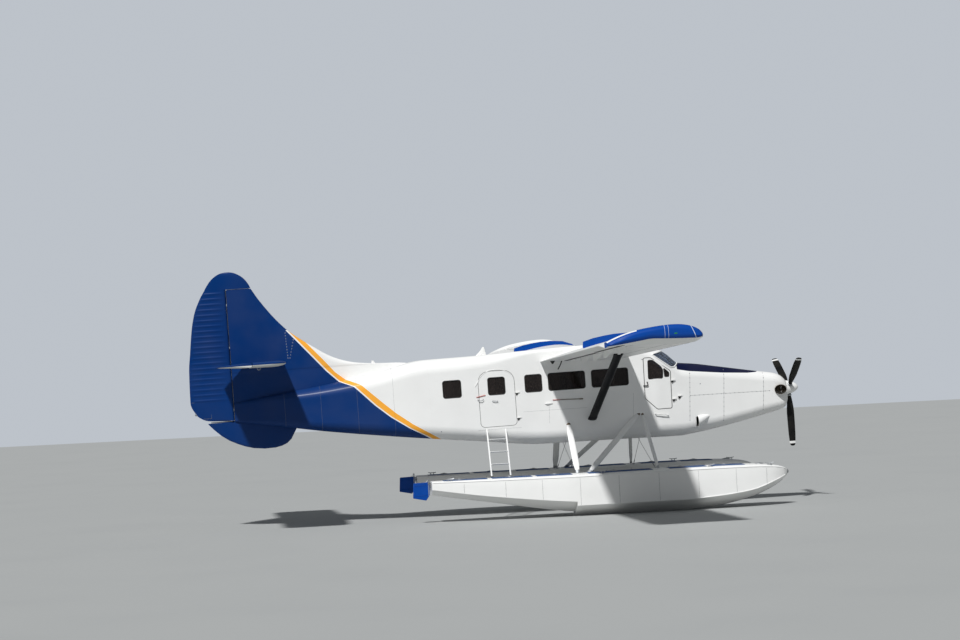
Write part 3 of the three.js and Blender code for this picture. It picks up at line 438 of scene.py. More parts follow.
def piece(name, bm, material, replaces=(), body="airframe", place=AIR, slot=None, sharp=32):
    """The bmesh becomes an object in its real place, shaded smooth up to a sharp angle."""
    bmesh.ops.transform(bm, matrix=place, verts=bm.verts)
    for face in bm.faces:
        face.smooth = True
    for edge in bm.edges:
        edge.smooth = len(edge.link_faces) == 2 and edge.calc_face_angle(0) < math.radians(sharp)
    name = name.replace(" ", "_")
    mesh = bpy.data.meshes.new(name)
    bm.to_mesh(mesh)
    bm.free()
    mesh.materials.append(material)
    obj = bpy.data.objects.new(name, mesh)
    bpy.context.scene.collection.objects.link(obj)
    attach(obj, body)
    if replaces:
        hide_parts(*replaces)
    slot = slot or SLOT_OF.get(material.name, "white_paint")
    print(name, len(mesh.polygons), "faces")
    return obj


def pieces(rows, suffix="", prefix="", **settings):
    """Several pieces, each from its name, its parts and its finish."""
    for name, parts, material in rows:
        piece(prefix + name + suffix, joined(parts), material, **settings)


# %% [markdown]
# A table of sections is read between its rows without overshoot, as a draughtsman's spline would be.

# %% Smooth tables
class Table:
    def __init__(self, rows):
        rows = np.array(sorted(rows), float)
        self.keys, self.values = rows[:, 0], rows[:, 1:]
        slope = np.diff(self.values, axis=0) / np.diff(self.keys)[:, None]
        product = slope[:-1] * slope[1:]
        total = np.where(product > 0, slope[:-1] + slope[1:], 1)
        inner = np.where(product > 0, 2 * product / total, 0)
        self.tangent = np.vstack([slope[:1], inner, slope[-1:]])

    def at(self, key):
        key = np.clip(np.atleast_1d(np.asarray(key, float)), self.keys[0], self.keys[-1])
        i = np.clip(np.searchsorted(self.keys, key) - 1, 0, len(self.keys) - 2)
        step = (self.keys[i + 1] - self.keys[i])[:, None]
        t = ((key - self.keys[i])[:, None]) / step
        return ((2 * t ** 3 - 3 * t ** 2 + 1) * self.values[i]
                + (t ** 3 - 2 * t ** 2 + t) * step * self.tangent[i]
                + (3 * t ** 2 - 2 * t ** 3) * self.values[i + 1]
                + (t ** 3 - t ** 2) * step * self.tangent[i + 1])


HULL = Table([
    # x, half width, top, bottom, top corner, bottom corner
    (-8814, 62, -320, -760, 55, 50),
    (-8000, 190, -220, -895, 150, 120),
    (-6900, 400, -95, -1100, 260, 220),
    (-5700, 610, 100, -1285, 330, 270),
    (-4500, 768, 316, -1450, 330, 300),
    (-3500, 800, 324, -1575, 300, 300),
    (-1990, 800, 366, -1752, 90, 300),
    (-900, 800, 385, -1768, 80, 300),
    (20, 800, 345, -1785, 90, 300),
    (556, 790, 236, -1800, 300, 300),
    (870, 748, 120, -1808, 330, 300),
    (1140, 702, -110, -1811, 330, 300),
    (1205, 690, -165, -1812, 330, 300),
    (1280, 676, -175, -1803, 326, 298),
    (1600, 618, -213, -1765, 310, 290),
    (2080, 540, -300, -1696, 280, 270),
    (3130, 388, -497, -1500, 230, 250),
    (3440, 340, -552, -1432, 210, 220),
    (3600, 300, -612, -1390, 200, 190),
    (3700, 252, -690, -1345, 185, 170),
    (3750, 196, -752, -1230, 150, 120),
])
CORNER_STEPS, SKIN_BAND, SAME_WAY, LINING_DEPTH = 9, 3, 0.9, -20


def hull_ring(x, depth=0.0):
    half, top, bottom, top_round, bottom_round = HULL.at(x)[0]
    ring = []
    for corner, (side, edge, way, corner_radius) in enumerate((
            (1, top - depth, -1, top_round), (-1, top - depth, -1, top_round),
            (-1, bottom + depth, 1, bottom_round), (1, bottom + depth, 1, bottom_round))):
        radius = max(corner_radius - depth, 12)
        for step in range(CORNER_STEPS + 1):
            angle = (corner + step / CORNER_STEPS) * math.pi / 2
            ring.append((x, side * (half - depth - radius) + radius * math.cos(angle),
                         edge + way * radius + radius * math.sin(angle)))
    return ring


def hull(rear, front, depth=0.0, spacing=80):
    count = max(2, round((front - rear) / spacing) + 1)
    return loft([hull_ring(x, depth) for x in np.linspace(rear, front, count)])


def shell(rear, front, thick, end_wall, spacing=80):
    """An outer skin with a smaller one turned inside out within it."""
    inner = hull(rear + end_wall, front - end_wall, thick, spacing)
    bmesh.ops.reverse_faces(inner, faces=inner.faces)
    return joined([hull(rear, front, 0.0, spacing), inner])


def hull_distance(points):
    """How far points are outside the fuselage skin."""
    half, top, bottom, top_round, bottom_round = HULL.at(points[:, 0]).T
    middle = (top + bottom) / 2
    tall = (top - bottom) / 2
    radius = np.where(points[:, 2] > middle, top_round, bottom_round)
    y = np.abs(points[:, 1]) - (half - radius)
    z = np.abs(points[:, 2] - middle) - (tall - radius)
    outside = np.hypot(np.maximum(y, 0), np.maximum(z, 0))
    return outside + np.minimum(np.maximum(y, z), 0) - radius


def hull_side(x, z):
    """How far out the skin is at a place in the side view."""
    half, top, bottom, top_round, bottom_round = HULL.at(x)[0]
    if z > top - top_round:
        radius, over = top_round, z - (top - top_round)
    else:
        radius, over = bottom_round, bottom + bottom_round - z
    over = min(max(over, 0), radius)
    return half - radius + math.sqrt(radius * radius - over * over)


def out_of_skin(points):
    """The directions straight out of the fuselage at many points."""
    slope = np.stack([hull_distance(points + step) - hull_distance(points - step)
                      for step in np.eye(3) * 2.0], 1)
    return slope / np.linalg.norm(slope, axis=1)[:, None]


def on_drawing(points):
    """Finished points back on the level airframe, in millimetres."""
    back = np.array(AIR.inverted())
    return points @ back[:3, :3].T + back[:3, 3]


def soften(obj):
    """Faces on the skin are lit as the true curved skin would be, whatever the cuts did to them."""
    mesh = obj.data
    drawn = on_drawing(np.array([v.co for v in mesh.vertices]))
    depth = hull_distance(drawn)
    outward = out_of_skin(drawn) @ np.array(NOSE_UP.to_3x3()).T
    normals = [Vector(n.vector) for n in mesh.corner_normals]
    for polygon in mesh.polygons:
        for loop in polygon.loop_indices:
            vertex = mesh.loops[loop].vertex_index
            true = Vector(outward[vertex])
            if abs(depth[vertex]) < SKIN_BAND and true.dot(polygon.normal) > SAME_WAY:
                normals[loop] = true
    mesh.normals_split_custom_set(normals)


def line_inside(obj, material):
    """Faces deep inside the wall take a second material."""
    mesh = obj.data
    mesh.materials.append(material)
    depth = hull_distance(on_drawing(np.array([p.center for p in mesh.polygons])))
    for polygon, distance in zip(mesh.polygons, depth):
        if distance < LINING_DEPTH:
            polygon.material_index = 1


# %% [markdown]
# Doors and windows are cut straight through from the side, as the real ones are.
# A flat outline gets rounded corners with a vertex bevel, shrinks with an inset, and is extruded into a cutter.

# %% Outlines and cutters
def outline_face(points, radius, shrink=0.0):
    """A flat face with rounded corners. A pair of radii is for the lower and for the upper corners."""
    bm = bmesh.new()
    corners = [bm.verts.new((x, 0, z)) for x, z in points]
    bm.faces.new(corners)
    groups = [(corners, radius)]
    if isinstance(radius, tuple):
        middle = sum(z for _, z in points) / len(points)
        groups = [([vert for vert in corners if (vert.co.z > middle) == upper], radius[upper])
                  for upper in (0, 1)]
    for group, size in groups:
        if size:
            bmesh.ops.bevel(bm, geom=group, offset=size, offset_type="WIDTH", affect="VERTICES", segments=7,
                            profile=0.5, material=-1)
    if shrink:
        border = bmesh.ops.inset_region(bm, faces=bm.faces[:], thickness=abs(shrink), use_outset=shrink < 0)
        if shrink > 0:
            bmesh.ops.delete(bm, geom=border["faces"], context="FACES")
    return bm


def ring_of(points, radius, shrink=0.0):
    bm = outline_face(points, radius, shrink)
    ring = [vert.co.copy() for vert in max(bm.faces, key=lambda face: face.calc_area()).verts]
    bm.free()
    return ring


def cutter(points, radius, low, high, shrink=0.0):
    ring = ring_of(points, radius, shrink)
    return loft([[(p.x, y, p.z) for p in ring] for y in (low, high)])


def rectangle(x, z, width, height):
    return [(x - width / 2, z - height / 2), (x + width / 2, z - height / 2),
            (x + width / 2, z + height / 2), (x - width / 2, z + height / 2)]


def tube(points, radius, cyclic=False, sides=8):
    """A round bar that follows points."""
    data = bpy.data.curves.new("path", "CURVE")
    data.dimensions = "3D"
    data.bevel_depth = radius
    data.bevel_resolution = max(0, sides // 4 - 1)
    data.use_fill_caps = not cyclic
    line = data.splines.new("POLY")
    line.points.add(len(points) - 1)
    for point, place in zip(line.points, points):
        point.co = (*place, 1)
    line.use_cyclic_u = cyclic
    obj = bpy.data.objects.new("path", data)
    mesh = bpy.data.meshes.new_from_object(obj)
    bm = bmesh.new()
    bm.from_mesh(mesh)
    bpy.data.objects.remove(obj)
    bpy.data.curves.remove(data)
    bmesh.ops.remove_doubles(bm, verts=bm.verts, dist=0.01)
    bmesh.ops.recalc_face_normals(bm, faces=bm.faces)
    return bm


def block(low, high, bevel=0.0):
    """A box between two corners, with rounded edges."""
    bm = bmesh.new()
    bmesh.ops.create_cube(bm, size=1)
    low, high = Vector(low), Vector(high)
    bmesh.ops.scale(bm, vec=high - low, verts=bm.verts)
    bmesh.ops.translate(bm, vec=(high + low) / 2, verts=bm.verts)
    return rounded(bm, bevel, 3) if bevel else bm


def disc(centre, axis, radius, thick, sides=16, bevel=0.0):
    """A round plate, button or can along an axis."""
    bm = bmesh.new()
    bmesh.ops.create_cone(bm, cap_ends=True, segments=sides, radius1=radius, radius2=radius, depth=thick)
    if bevel:
        rounded(bm, bevel, edges=[e for e in bm.edges if abs(e.verts[0].co.z - e.verts[1].co.z) < 1e-6])
    turn = Vector((0, 0, 1)).rotation_difference(Vector(axis)).to_matrix().to_4x4()
    bmesh.ops.transform(bm, matrix=Matrix.Translation(centre) @ turn, verts=bm.verts)
    return bm


def ball(centre, size, around, rings):
    """A sphere squashed to three half sizes."""
    bm = bmesh.new()
    bmesh.ops.create_uvsphere(bm, u_segments=around, v_segments=rings, radius=1)
    bmesh.ops.scale(bm, vec=size, verts=bm.verts)
    bmesh.ops.translate(bm, vec=centre, verts=bm.verts)
    return bm


print("a test cutter has", len(cutter(rectangle(0, 0, 400, 300), 50, 0, 10).faces), "faces")

# %% [markdown]
# Five rows of windows and five doors share a few numbers. An opening belongs to a door or to the shell itself.

# %% Window and door places
WINDOW_Z, WINDOW_HEIGHT, WINDOW_CORNER = -380, 385, 75
WINDOWS = [
    # centre x, width, door on starboard, door on port
    (-4000, 405, None, None),
    (-3003, 380, "cabin_door", "cargo_door_rear"),
    (-2170, 380, None, "cargo_door_front"),
    (-1416, 830, None, None),
    (-434, 830, None, None),
]
COCKPIT_WINDOW = [(455, -60), (560, -60), (742, -215), (788, -300), (772, -482), (440, -482)]
QUARTERLIGHT = [(806, -250), (928, -368), (922, -455), (822, -455)]
COCKPIT_DOOR = [(352, 0), (515, 0), (965, -330), (945, -1168), (600, -1168), (335, -905)]
WINDSHIELD = [(556, 66), (1200, 206), (1320, -61), (1023, -277)]
DOOR_GAP, WALL, REACH = 7, 45, 1500
WAYS = {"right": -1, "left": 1}
SIDES = {"right": (-REACH, -250), "left": (250, REACH)}
POST, SCREEN_CORNER = 22, 40
SCREEN_HALVES = ((-REACH, -POST), (POST, REACH))
DOORS = [
    # name, outline, corner radius (or lower and upper), side, panes it carries
    ("cabin_door", rectangle(-3003, -660, 815, 1240), (130, 350), "right", ["cabin_door_window"]),
    ("cargo_door_rear", rectangle(-3003, -660, 815, 1240), 60, "left", ["cargo_window_rear"]),
    ("cargo_door_front", rectangle(-2255, -660, 660, 1240), 60, "left", ["cargo_window_front"]),
    ("cockpit_door_right", COCKPIT_DOOR, 55, "right", ["cockpit_window_right"]),
    ("cockpit_door_left", COCKPIT_DOOR, 55, "left", ["cockpit_window_left"]),
]


def openings_in(name, side):
    """The glazed holes of one door, or of the shell when the name is None, as outline and corner radius."""
    column = 2 if side == "right" else 3
    holes = [(rectangle(row[0], WINDOW_Z, row[1], WINDOW_HEIGHT), WINDOW_CORNER)
             for row in WINDOWS if row[column] == name]
    if name and name.startswith("cockpit"):
        holes += [(COCKPIT_WINDOW, 45), (QUARTERLIGHT, 30)]
    return holes


print(len(WINDOWS), "window places,", len(DOORS), "doors")

# %% [markdown]
# The cabin is one shell with the door and window holes cut through both skins.
# Each door leaf is the same shell kept only inside the door's outline, so leaf and body share one curve.

# %% Cabin shell and doors
CABIN_REAR, CABIN_FRONT = -4500, 1205


def build_cabin():
    holes = []
    for side, reach in SIDES.items():
        holes += [cutter(points, radius, *reach) for points, radius in openings_in(None, side)]
    holes += [cutter(points, radius, *SIDES[side]) for _, points, radius, side, _ in DOORS]
    holes += [cutter(WINDSHIELD, SCREEN_CORNER, *half) for half in SCREEN_HALVES]
    body = shell(CABIN_REAR, CABIN_FRONT, WALL, WALL)
    for hole in holes:
        body = boolean(body, hole)
    cabin = piece("cabin skin", body, fuselage_paint, ["cabin_shell"])
    soften(cabin)
    line_inside(cabin, lining)
    for name, points, radius, side, _ in DOORS:
        leaf = boolean(shell(CABIN_REAR, CABIN_FRONT, WALL, WALL),
                       cutter(points, radius, *SIDES[side], shrink=DOOR_GAP), "INTERSECT")
        for hole, corner in openings_in(name, side):
            leaf = boolean(leaf, cutter(hole, corner, *SIDES[side]))
        door = piece(name + " leaf", leaf, fuselage_paint, [name], body=name)
        soften(door)
        line_inside(door, lining)


build_cabin()

# %% [markdown]
# Each pane follows the curve of the skin a few millimetres down in its hole, held by a black rubber channel.
# The channel is a bar that follows the hole's outline along the skin.

# %% Panes and rubber channels
PANE_DEPTH, PANE, CHANNEL = 12, 6, 10
GLAZING = {
    # side, and the CAD panes that the fixed glass stands for
    "right": ["window_rear_right", "window_strip_right"],
    "left": ["window_rear_left", "window_strip_left"],
}


def pane_layer():
    inner = hull(CABIN_REAR + 50, CABIN_FRONT - 5, PANE_DEPTH + PANE)
    bmesh.ops.reverse_faces(inner, faces=inner.faces)
    return joined([hull(CABIN_REAR + 45, CABIN_FRONT - 2, PANE_DEPTH), inner])


def pane(outline, radius, reach):
    return boolean(pane_layer(), cutter(outline, radius, *reach, shrink=1), "INTERSECT")


def build_glazing(title, holes, side, body, replaced):
    panes, seals = [], []
    for points, radius in holes:
        panes.append(pane(points, radius, SIDES[side]))
        path = [(p.x, WAYS[side] * (hull_side(p.x, p.z) - 3), p.z) for p in ring_of(points, radius, shrink=3)]
        seals.append(tube(path, CHANNEL, cyclic=True))
    piece(title + " glass", joined(panes), window_glass, replaced, body=body)
    piece(title + " seals", joined(seals), black_rubber, body=body)


for side, replaced in GLAZING.items():
    build_glazing("cabin " + side, openings_in(None, side), side, "airframe", replaced)
for name, _, _, side, replaced in DOORS:
    build_glazing(name, openings_in(name, side), side, name, replaced)


screens = [pane(WINDSHIELD, SCREEN_CORNER, half) for half in SCREEN_HALVES]
piece("windshield glass", joined(screens), screen_glass, ["windshield"])

# %% [markdown]
# The tail cone, the cowling and the nose bowl carry the fuselage's curve on.
# The nose bowl has a chin intake and a hole for the propeller shaft.

# %% Tail cone, cowling and nose
TAIL_END, COWL_JOINT, NOSE_FRONT = -8814, 3440, 3750
PROP_Z = -918


def ellipse(x, y, z, wide, high, sides=28):
    return [(x, y + wide * math.cos(angle), z + high * math.sin(angle)) for angle in turns(sides)]


tail_cone = piece("tail cone skin", shell(TAIL_END, CABIN_REAR - 0.3, 30, 20), fuselage_paint, ["tail_cone"])
soften(tail_cone)

OUTLET = [
    # x, y, z, half width, half height: a side outlet that opens aft
    (1846, 556, -1403, 1, 1), (1835, 560, -1406, 14, 16), (1790, 567, -1421, 42, 46),
    (1740, 574, -1438, 66, 70), (1660, 586, -1468, 94, 99), (1590, 596, -1494, 110, 118),
    (1538, 602, -1511, 118, 126)]


def outlet_rings(way, shrink, first=0):
    return [ellipse(x, way * y, z, max(wide - shrink, 1), max(high - shrink, 1))
            for x, y, z, wide, high in OUTLET[first:]]


def outlet_hollow(way):
    x, y, z, wide, high = OUTLET[-1]
    return loft(outlet_rings(way, 10, 2) + [ellipse(x - 40, way * (y + 4), z - 14, wide - 10, high - 10)])


STACK = [
    # x, y, z, half length, half height
    (3612, 190, -925, 92, 84), (3590, 300, -930, 112, 96), (3562, 370, -937, 126, 106),
    (3548, 400, -940, 131, 110)]
STACK_LEAN, STACK_SKIN = 0.3, 8


def stack_rings(way, shrink):
    rings = []
    for x, y, z, long, high in STACK:
        ring = []
        for angle in turns(36):
            along = (long - shrink) * math.cos(angle)
            ring.append((x + along, way * (y + along * STACK_LEAN), z + (high - shrink) * math.sin(angle)))
        rings.append(ring)
    return rings


def stack_hollow(way):
    """The inside of a stub, drawn out past the skin."""
    rings = stack_rings(way, STACK_SKIN - 1)[1:]
    return loft(rings + [[(x, y + way * 90, z) for x, y, z in rings[-1]]])


def build_nose():
    cowl = shell(CABIN_FRONT + 0.3, COWL_JOINT, 14, 3)
    shade_liners = []
    for way in (-1, 1):
        cowl = boolean(boolean(cowl, loft(outlet_rings(way, 0)), "UNION"), outlet_hollow(way))
        cowl = boolean(cowl, stack_hollow(way))
        # A black lining inside each outlet is painted shade of its dark opening.
        shade_liners.append(loft(outlet_rings(way, 10.5, 2) + outlet_rings(way, 14, 3)[::-1]))
    soften(piece("cowling skin", cowl, fuselage_paint, ["cowl"]))
    piece("outlet shade_linings", joined(shade_liners), soot_and_shade_black)
    bowl = shell(COWL_JOINT + 0.3, NOSE_FRONT, 14, 10, 20)
    bowl = boolean(bowl, disc((NOSE_FRONT, 0, PROP_Z), (1, 0, 0), 62, 300, 32))
    bowl = boolean(bowl, loft([[(x, p.x, p.z) for p in ring_of(rectangle(0, -1240, 250, 140), 55)]
                               for x in (3600, 3900)]))
    for way in (-1, 1):
        bowl = boolean(bowl, stack_hollow(way))
    soften(piece("nose bowl skin", bowl, fuselage_paint, ["nose_bowl"]))


build_nose()

# %% [markdown]
# The exhaust stubs are short oval pipes on each side of the nose, cut off at a slant that faces out and aft.

# %% Exhaust stubs
for side, way in WAYS.items():
    inside = stack_rings(way, STACK_SKIN)
    pipe = loft(stack_rings(way, 0) + inside[::-1][:3])
    piece("exhaust stub " + side, pipe, stain_and_shade_steel, ["exhaust_" + side])
    cup = loft(stack_rings(way, STACK_SKIN + 0.5) + stack_rings(way, STACK_SKIN + 4)[::-1][:3])
    piece("exhaust soot " + side, cup, soot_and_shade_black, slot="exhaust_steel")

# %% [markdown]
# A wing section is a thickness laid round a bent middle line, both by formula.
# The same formula draws the flaps, the ailerons and the tips, so all of them meet.

# %% Wing section
CHORD, THICKNESS, CAMBER, CAMBER_AT = 1980, 0.15, 0.04, 0.4
WING_ROOT_Y, WING_CAP_Y, SEMI_SPAN, WING_LE_Z = 802, 8560, 8840, 105
DIHEDRAL, INCIDENCE = math.radians(1.8), math.radians(0.5)
SURFACE_GAP, FLAP_HINGE, AILERON_HINGE = 8, 0.75, 0.78
FLAP_SPAN, AILERON_SPAN, FENCE_Y = (872, 5150), (5252, 8500), 5201
SURFACES = (("flap", FLAP_HINGE, FLAP_SPAN), ("aileron", AILERON_HINGE, AILERON_SPAN))


def camber_at(c):
    if c < CAMBER_AT:
        return CAMBER / CAMBER_AT ** 2 * (2 * CAMBER_AT * c - c * c)
    return CAMBER / (1 - CAMBER_AT) ** 2 * (1 - 2 * CAMBER_AT + 2 * CAMBER_AT * c - c * c)


def half_thickness(c):
    form = 0.2969 * math.sqrt(c) - 0.126 * c - 0.3516 * c ** 2 + 0.2843 * c ** 3 - 0.1015 * c ** 4
    return 5 * THICKNESS * form + 0.0012 * c


def wing_point(c, side):
    x = -c * CHORD
    z = (camber_at(c) + side * half_thickness(c)) * CHORD
    return x * math.cos(INCIDENCE), x * math.sin(INCIDENCE) + z + WING_LE_Z


def lift(y):
    return (abs(y) - WING_ROOT_Y) * math.tan(DIHEDRAL)


def stations(start, end, count):
    """Chord places, closer together near the leading edge."""
    return [start + (end - start) * (i / count) ** 1.8 for i in range(count + 1)]


def spanwise(outline, places):
    return loft([[(x, y, z + lift(y)) for x, z in outline] for y in places])


def hinge_point(c):
    upper, lower = wing_point(c, 1), wing_point(c, -1)
    return upper[0], (upper[1] + lower[1]) / 2, (upper[1] - lower[1]) / 2


def wing_outline(end=1.0, count=26):
    spots = stations(0, end, count)
    return [wing_point(c, 1) for c in spots] + [wing_point(c, -1) for c in spots[:0:-1]]


def surface_outline(hinge_at):
    x, z, radius = hinge_point(hinge_at)
    spots = [hinge_at + (1 - hinge_at) * i / 8 for i in range(9)]
    nose = [(x + radius * math.cos(a), z + radius * math.sin(a))
            for a in np.linspace(-math.pi / 2, math.pi / 2, 12)[1:-1]]
    return [wing_point(c, 1) for c in spots] + [wing_point(c, -1) for c in spots[::-1]] + nose


def bay(hinge_at, span):
    x, z, radius = hinge_point(hinge_at)
    front = x + radius + SURFACE_GAP
    outline = [(front, z - 400), (front, z + 400), (-CHORD - 200, z + 400), (-CHORD - 200, z - 400)]
    return spanwise(outline, (span[0] - SURFACE_GAP, span[1] + SURFACE_GAP))


print("wing thickness", round(THICKNESS * CHORD), "mm")

# %% [markdown]
# The wings are long plain lofts, with a bay cut out of the rear edge for the flap and the aileron.
# Triangular brackets under the rear edge carry their hinges, and a fence stands between the two.

# %% Wings
BRACKETS = [
    # y, hinge fraction
    (1500, FLAP_HINGE), (2900, FLAP_HINGE), (4450, FLAP_HINGE), (6100, AILERON_HINGE), (7700, AILERON_HINGE)]
FENCE = [(0.875, 20), (0.868, 138), (0.76, 146), (0.64, 136), (0.54, 128), (0.4, 108), (0.25, 86), (0.13, 40)]
TIP_BLUE_REAR, TIP_WHITE_ABOVE = -1890, -1300
TIP_SHAPE = Table([
    # place along the chord, how far the tip's upper and lower skins stand above the wing's own
    (0.0, 50, 30), (0.06, 72, 50), (0.15, 76, 68), (0.4, 66, 76), (0.52, 68, 80), (0.64, 74, 46),
    (0.75, 78, 12), (0.88, 68, -26), (1.0, 46, -53)])
TIP_FULL_Y, TIP_ROUND, TIP_TRIM, TIP_REACH, TIP_EDGE_Y = 8700, 110, 0.04, 30, 8.79
TIP_ROWS = [8752, 8774, 8794, 8810, 8822, 8831, 8837, SEMI_SPAN]


def tip_ring(y):
    """The wing section turns into the upswept tip, whose outer edge is rounded off."""
    t = min(1.0, (y - WING_CAP_Y) / (TIP_FULL_Y - WING_CAP_Y))
    t = t * t * (3 - 2 * t)
    s = max(0.0, (y - SEMI_SPAN + TIP_ROUND) / TIP_ROUND)
    inset = TIP_ROUND * (1 - math.sqrt(max(0.0, 1 - s * s)))
    skins = ([], [])
    for c in stations(0, 1, 26):
        rise = TIP_SHAPE.at(c)[0] * t
        upper, lower = wing_point(c, 1), wing_point(c, -1)
        high, low = upper[1] + rise[0], lower[1] + (rise[1] if c else rise[0])
        middle, half = (high + low) / 2, (high - low) / 2
        half = max(half - inset, half * 0.15)
        x = upper[0] * (1 - TIP_TRIM * t) + TIP_REACH * t
        x = -CHORD / 2 + (x + CHORD / 2) * (1 - inset / (CHORD / 2))
        skins[0].append((x, y, middle + half + lift(y)))
        skins[1].append((x, y, middle - half + lift(y)))
    return skins[0] + skins[1][:0:-1]


def hinge_bracket(y, hinge_at):
    """A triangular plate under the rear edge of the wing."""
    x, z, radius = hinge_point(hinge_at)
    rear, foot = x + radius + SURFACE_GAP, z - radius - 150
    return spanwise([(rear + 260, z - 40), (rear, z - 20), (rear, foot), (rear + 45, foot)], (y - 12, y + 12))


def whiten(tip):
    """The tip's underside and the rear of its top are white."""
    tip.data.materials.append(white_paint)
    for polygon in tip.data.polygons:
        along, inner = (AIR.inverted() @ polygon.center).x, abs(polygon.center.y) < TIP_EDGE_Y
        outward = math.copysign(polygon.normal.y, polygon.normal.y * polygon.center.y)
        under = polygon.normal.z < -0.6 and inner
        over = polygon.normal.z > 0.6 and (outward < 0.05 or inner and along < TIP_WHITE_ABOVE)
        if under or over or along < TIP_BLUE_REAR:
            polygon.material_index = 1


def build_wing(side, turn):
    wing = spanwise(wing_outline(), np.linspace(WING_ROOT_Y, WING_CAP_Y, 12))
    for _, hinge_at, span in SURFACES:
        wing = boolean(wing, bay(hinge_at, span))
    for y, hinge_at in BRACKETS:
        wing = boolean(wing, hinge_bracket(y, hinge_at), "UNION")
    piece("wing skin " + side, turn(wing), white_paint, ["wing_" + side])
    foot = [(wing_point(c, 1)[0], wing_point(c, 1)[1] - 6) for c in np.linspace(0.1, 0.86, 16)]
    top = [(wing_point(c, 1)[0], wing_point(c, 1)[1] + rise) for c, rise in FENCE]
    piece("wing fence " + side, turn(spanwise(foot + top, (FENCE_Y - 4, FENCE_Y + 4))), tip_blue)
    for kind, hinge_at, span in SURFACES:
        body = kind + "_" + side
        surface = spanwise(surface_outline(hinge_at), np.linspace(*span, 8))
        piece(kind + " skin " + side, turn(surface), white_paint, [body], body=body)
    tip = loft([tip_ring(y) for y in np.concatenate([np.linspace(WING_CAP_Y + 0.3, 8730, 9), TIP_ROWS])])
    whiten(piece("wing tip skin " + side, turn(tip), tip_paint, ["wing_tip_" + side]))


build_wing("left", lambda bm: bm)
build_wing("right", mirrored)

# %% [markdown]
# The fin grows out of the fuselage as a long low fillet and then sweeps up.
# The tailplane goes through it, so a slot is left out of the fin.

# %% Fin and tailplane
TAIL_HINGE_X, RUDDER_NOSE, STAB_Z, STAB_HALF_SPAN = -8880, 58, 470, 3230
ELEVATOR_HINGE_X, ELEVATOR_NOSE, FIN_TOP, TIP_GAP, FIN_NOSE = -8489, 48, 2190, 12, 260
FIN_REAR = TAIL_HINGE_X + RUDDER_NOSE + SURFACE_GAP
FIN = Table([
    # z, leading edge x, half thickness
    (-400, -4760, 54), (255, -4790, 54), (303, -5060, 54), (319, -5400, 56), (336, -5700, 60), (386, -6088, 62),
    (526, -6519, 62), (776, -6933, 64), (1261, -7571, 60), (1930, -8105, 56), (FIN_TOP, -8262, 54)])


def fin_ring(z):
    leading, thick = FIN.at(z)[0]
    length = leading - FIN_REAR
    half = []
    for share in (0.0, 0.004, 0.015, 0.035, 0.07, 0.13, 0.22, 0.36, 0.55, 0.78, 1.0):
        swell = quarter_round(share * length / FIN_NOSE)
        half.append((leading - share * length, thick * swell * (1 - 0.14 * share)))
    return both_sides(half, lambda x, y: (x, y, z))


def build_fin():
    fillet = [-400, -200, 0, 150, 230, 255, 270, 285, 296, 303, 308, 313, 319, 327, 336, 348, 366, 386,
              410, 440, 480, 526]
    fin = loft([fin_ring(z) for z in fillet + list(np.linspace(560, FIN_TOP, 30))])
    fin = boolean(fin, hull(TAIL_END - 100, CABIN_REAR, 0.5))
    slot = stabilizer()
    bmesh.ops.scale(slot, vec=(1, 1, 1.01), verts=slot.verts)
    bmesh.ops.translate(slot, vec=(0, 0, -0.01 * STAB_Z), verts=slot.verts)
    fin = boolean(fin, slot)
    fin = boolean(fin, disc((ELEVATOR_HINGE_X, 0, STAB_Z), (0, 1, 0), 29, 400))
    piece("fin skin", fin, fuselage_paint, ["fin"], slot="tail_blue_paint", sharp=40)


STAB = Table([
    # y, leading edge x, half thickness
    (-1, -7640, 66), (2950, -7715, 62), (3060, -7745, 58), (3130, -7790, 52), (3190, -7850, 40),
    (STAB_HALF_SPAN, -7940, 18)])
STAB_REAR = ELEVATOR_HINGE_X + ELEVATOR_NOSE + SURFACE_GAP


def stab_ring(y):
    leading, thick = STAB.at(abs(y))[0]
    length = leading - STAB_REAR
    half = []
    for share in (0.0, 0.012, 0.04, 0.09, 0.16, 0.27, 0.42, 0.6, 0.8, 1.0):
        half.append((leading - share * length, thick * quarter_round(share / 0.36) * (1 - 0.16 * share)))
    return both_sides(half, lambda x, z: (x, y, STAB_Z + z))


def stabilizer():
    outer = [STAB_HALF_SPAN, 3222, 3210, 3190, 3160, 3130, 3090, 3060, 3000, 2950, 2000, 1000]
    return loft([stab_ring(y) for y in [-y for y in outer] + [0] + outer[::-1]])


build_fin()
piece("tailplane skin", stabilizer(), tailplane_paint, ["stabilizer"], sharp=40)

# %% [markdown]
# The rudder and elevators are stiffened by pressed beads that run from the hinge to the trailing edge.
# The skin is a loft again, and its thickness swells at each bead.

# %% Rudder and elevators
RUDDER_EDGE = Table([
    # z, trailing edge x
    (-722, -8990), (-712, -9220), (-690, -9420), (-640, -9540), (-559, -9643), (-269, -9773), (421, -9755),
    (829, -9706), (1395, -9626), (1730, -9543), (2041, -9401), (FIN_TOP + TIP_GAP, -9300)])
HORN = Table([
    # z, leading edge x, trailing edge x, half thickness
    (FIN_TOP + TIP_GAP, -8266, -9300, 54), (2281, -8300, -9254, 50), (2430, -8405, -9140, 40),
    (2530, -8540, -9010, 28), (2575, -8650, -8900, 15), (2588, -8730, -8820, 4)])
BEAD_PITCH, BEAD_WIDTH, BEAD_RISE, RUDDER_PLAIN, TRAILING_HALF = 118, 74, 10, -270, 4
RUDDER_FOOT, ELEVATOR_ROOT = -722, 96
ELEVATOR_EDGE = Table([
    # y, trailing edge x
    (ELEVATOR_ROOT, -9165), (3040, -9165), (3110, -9140), (3170, -9090), (3205, -9010),
    (STAB_HALF_SPAN, -8900)])


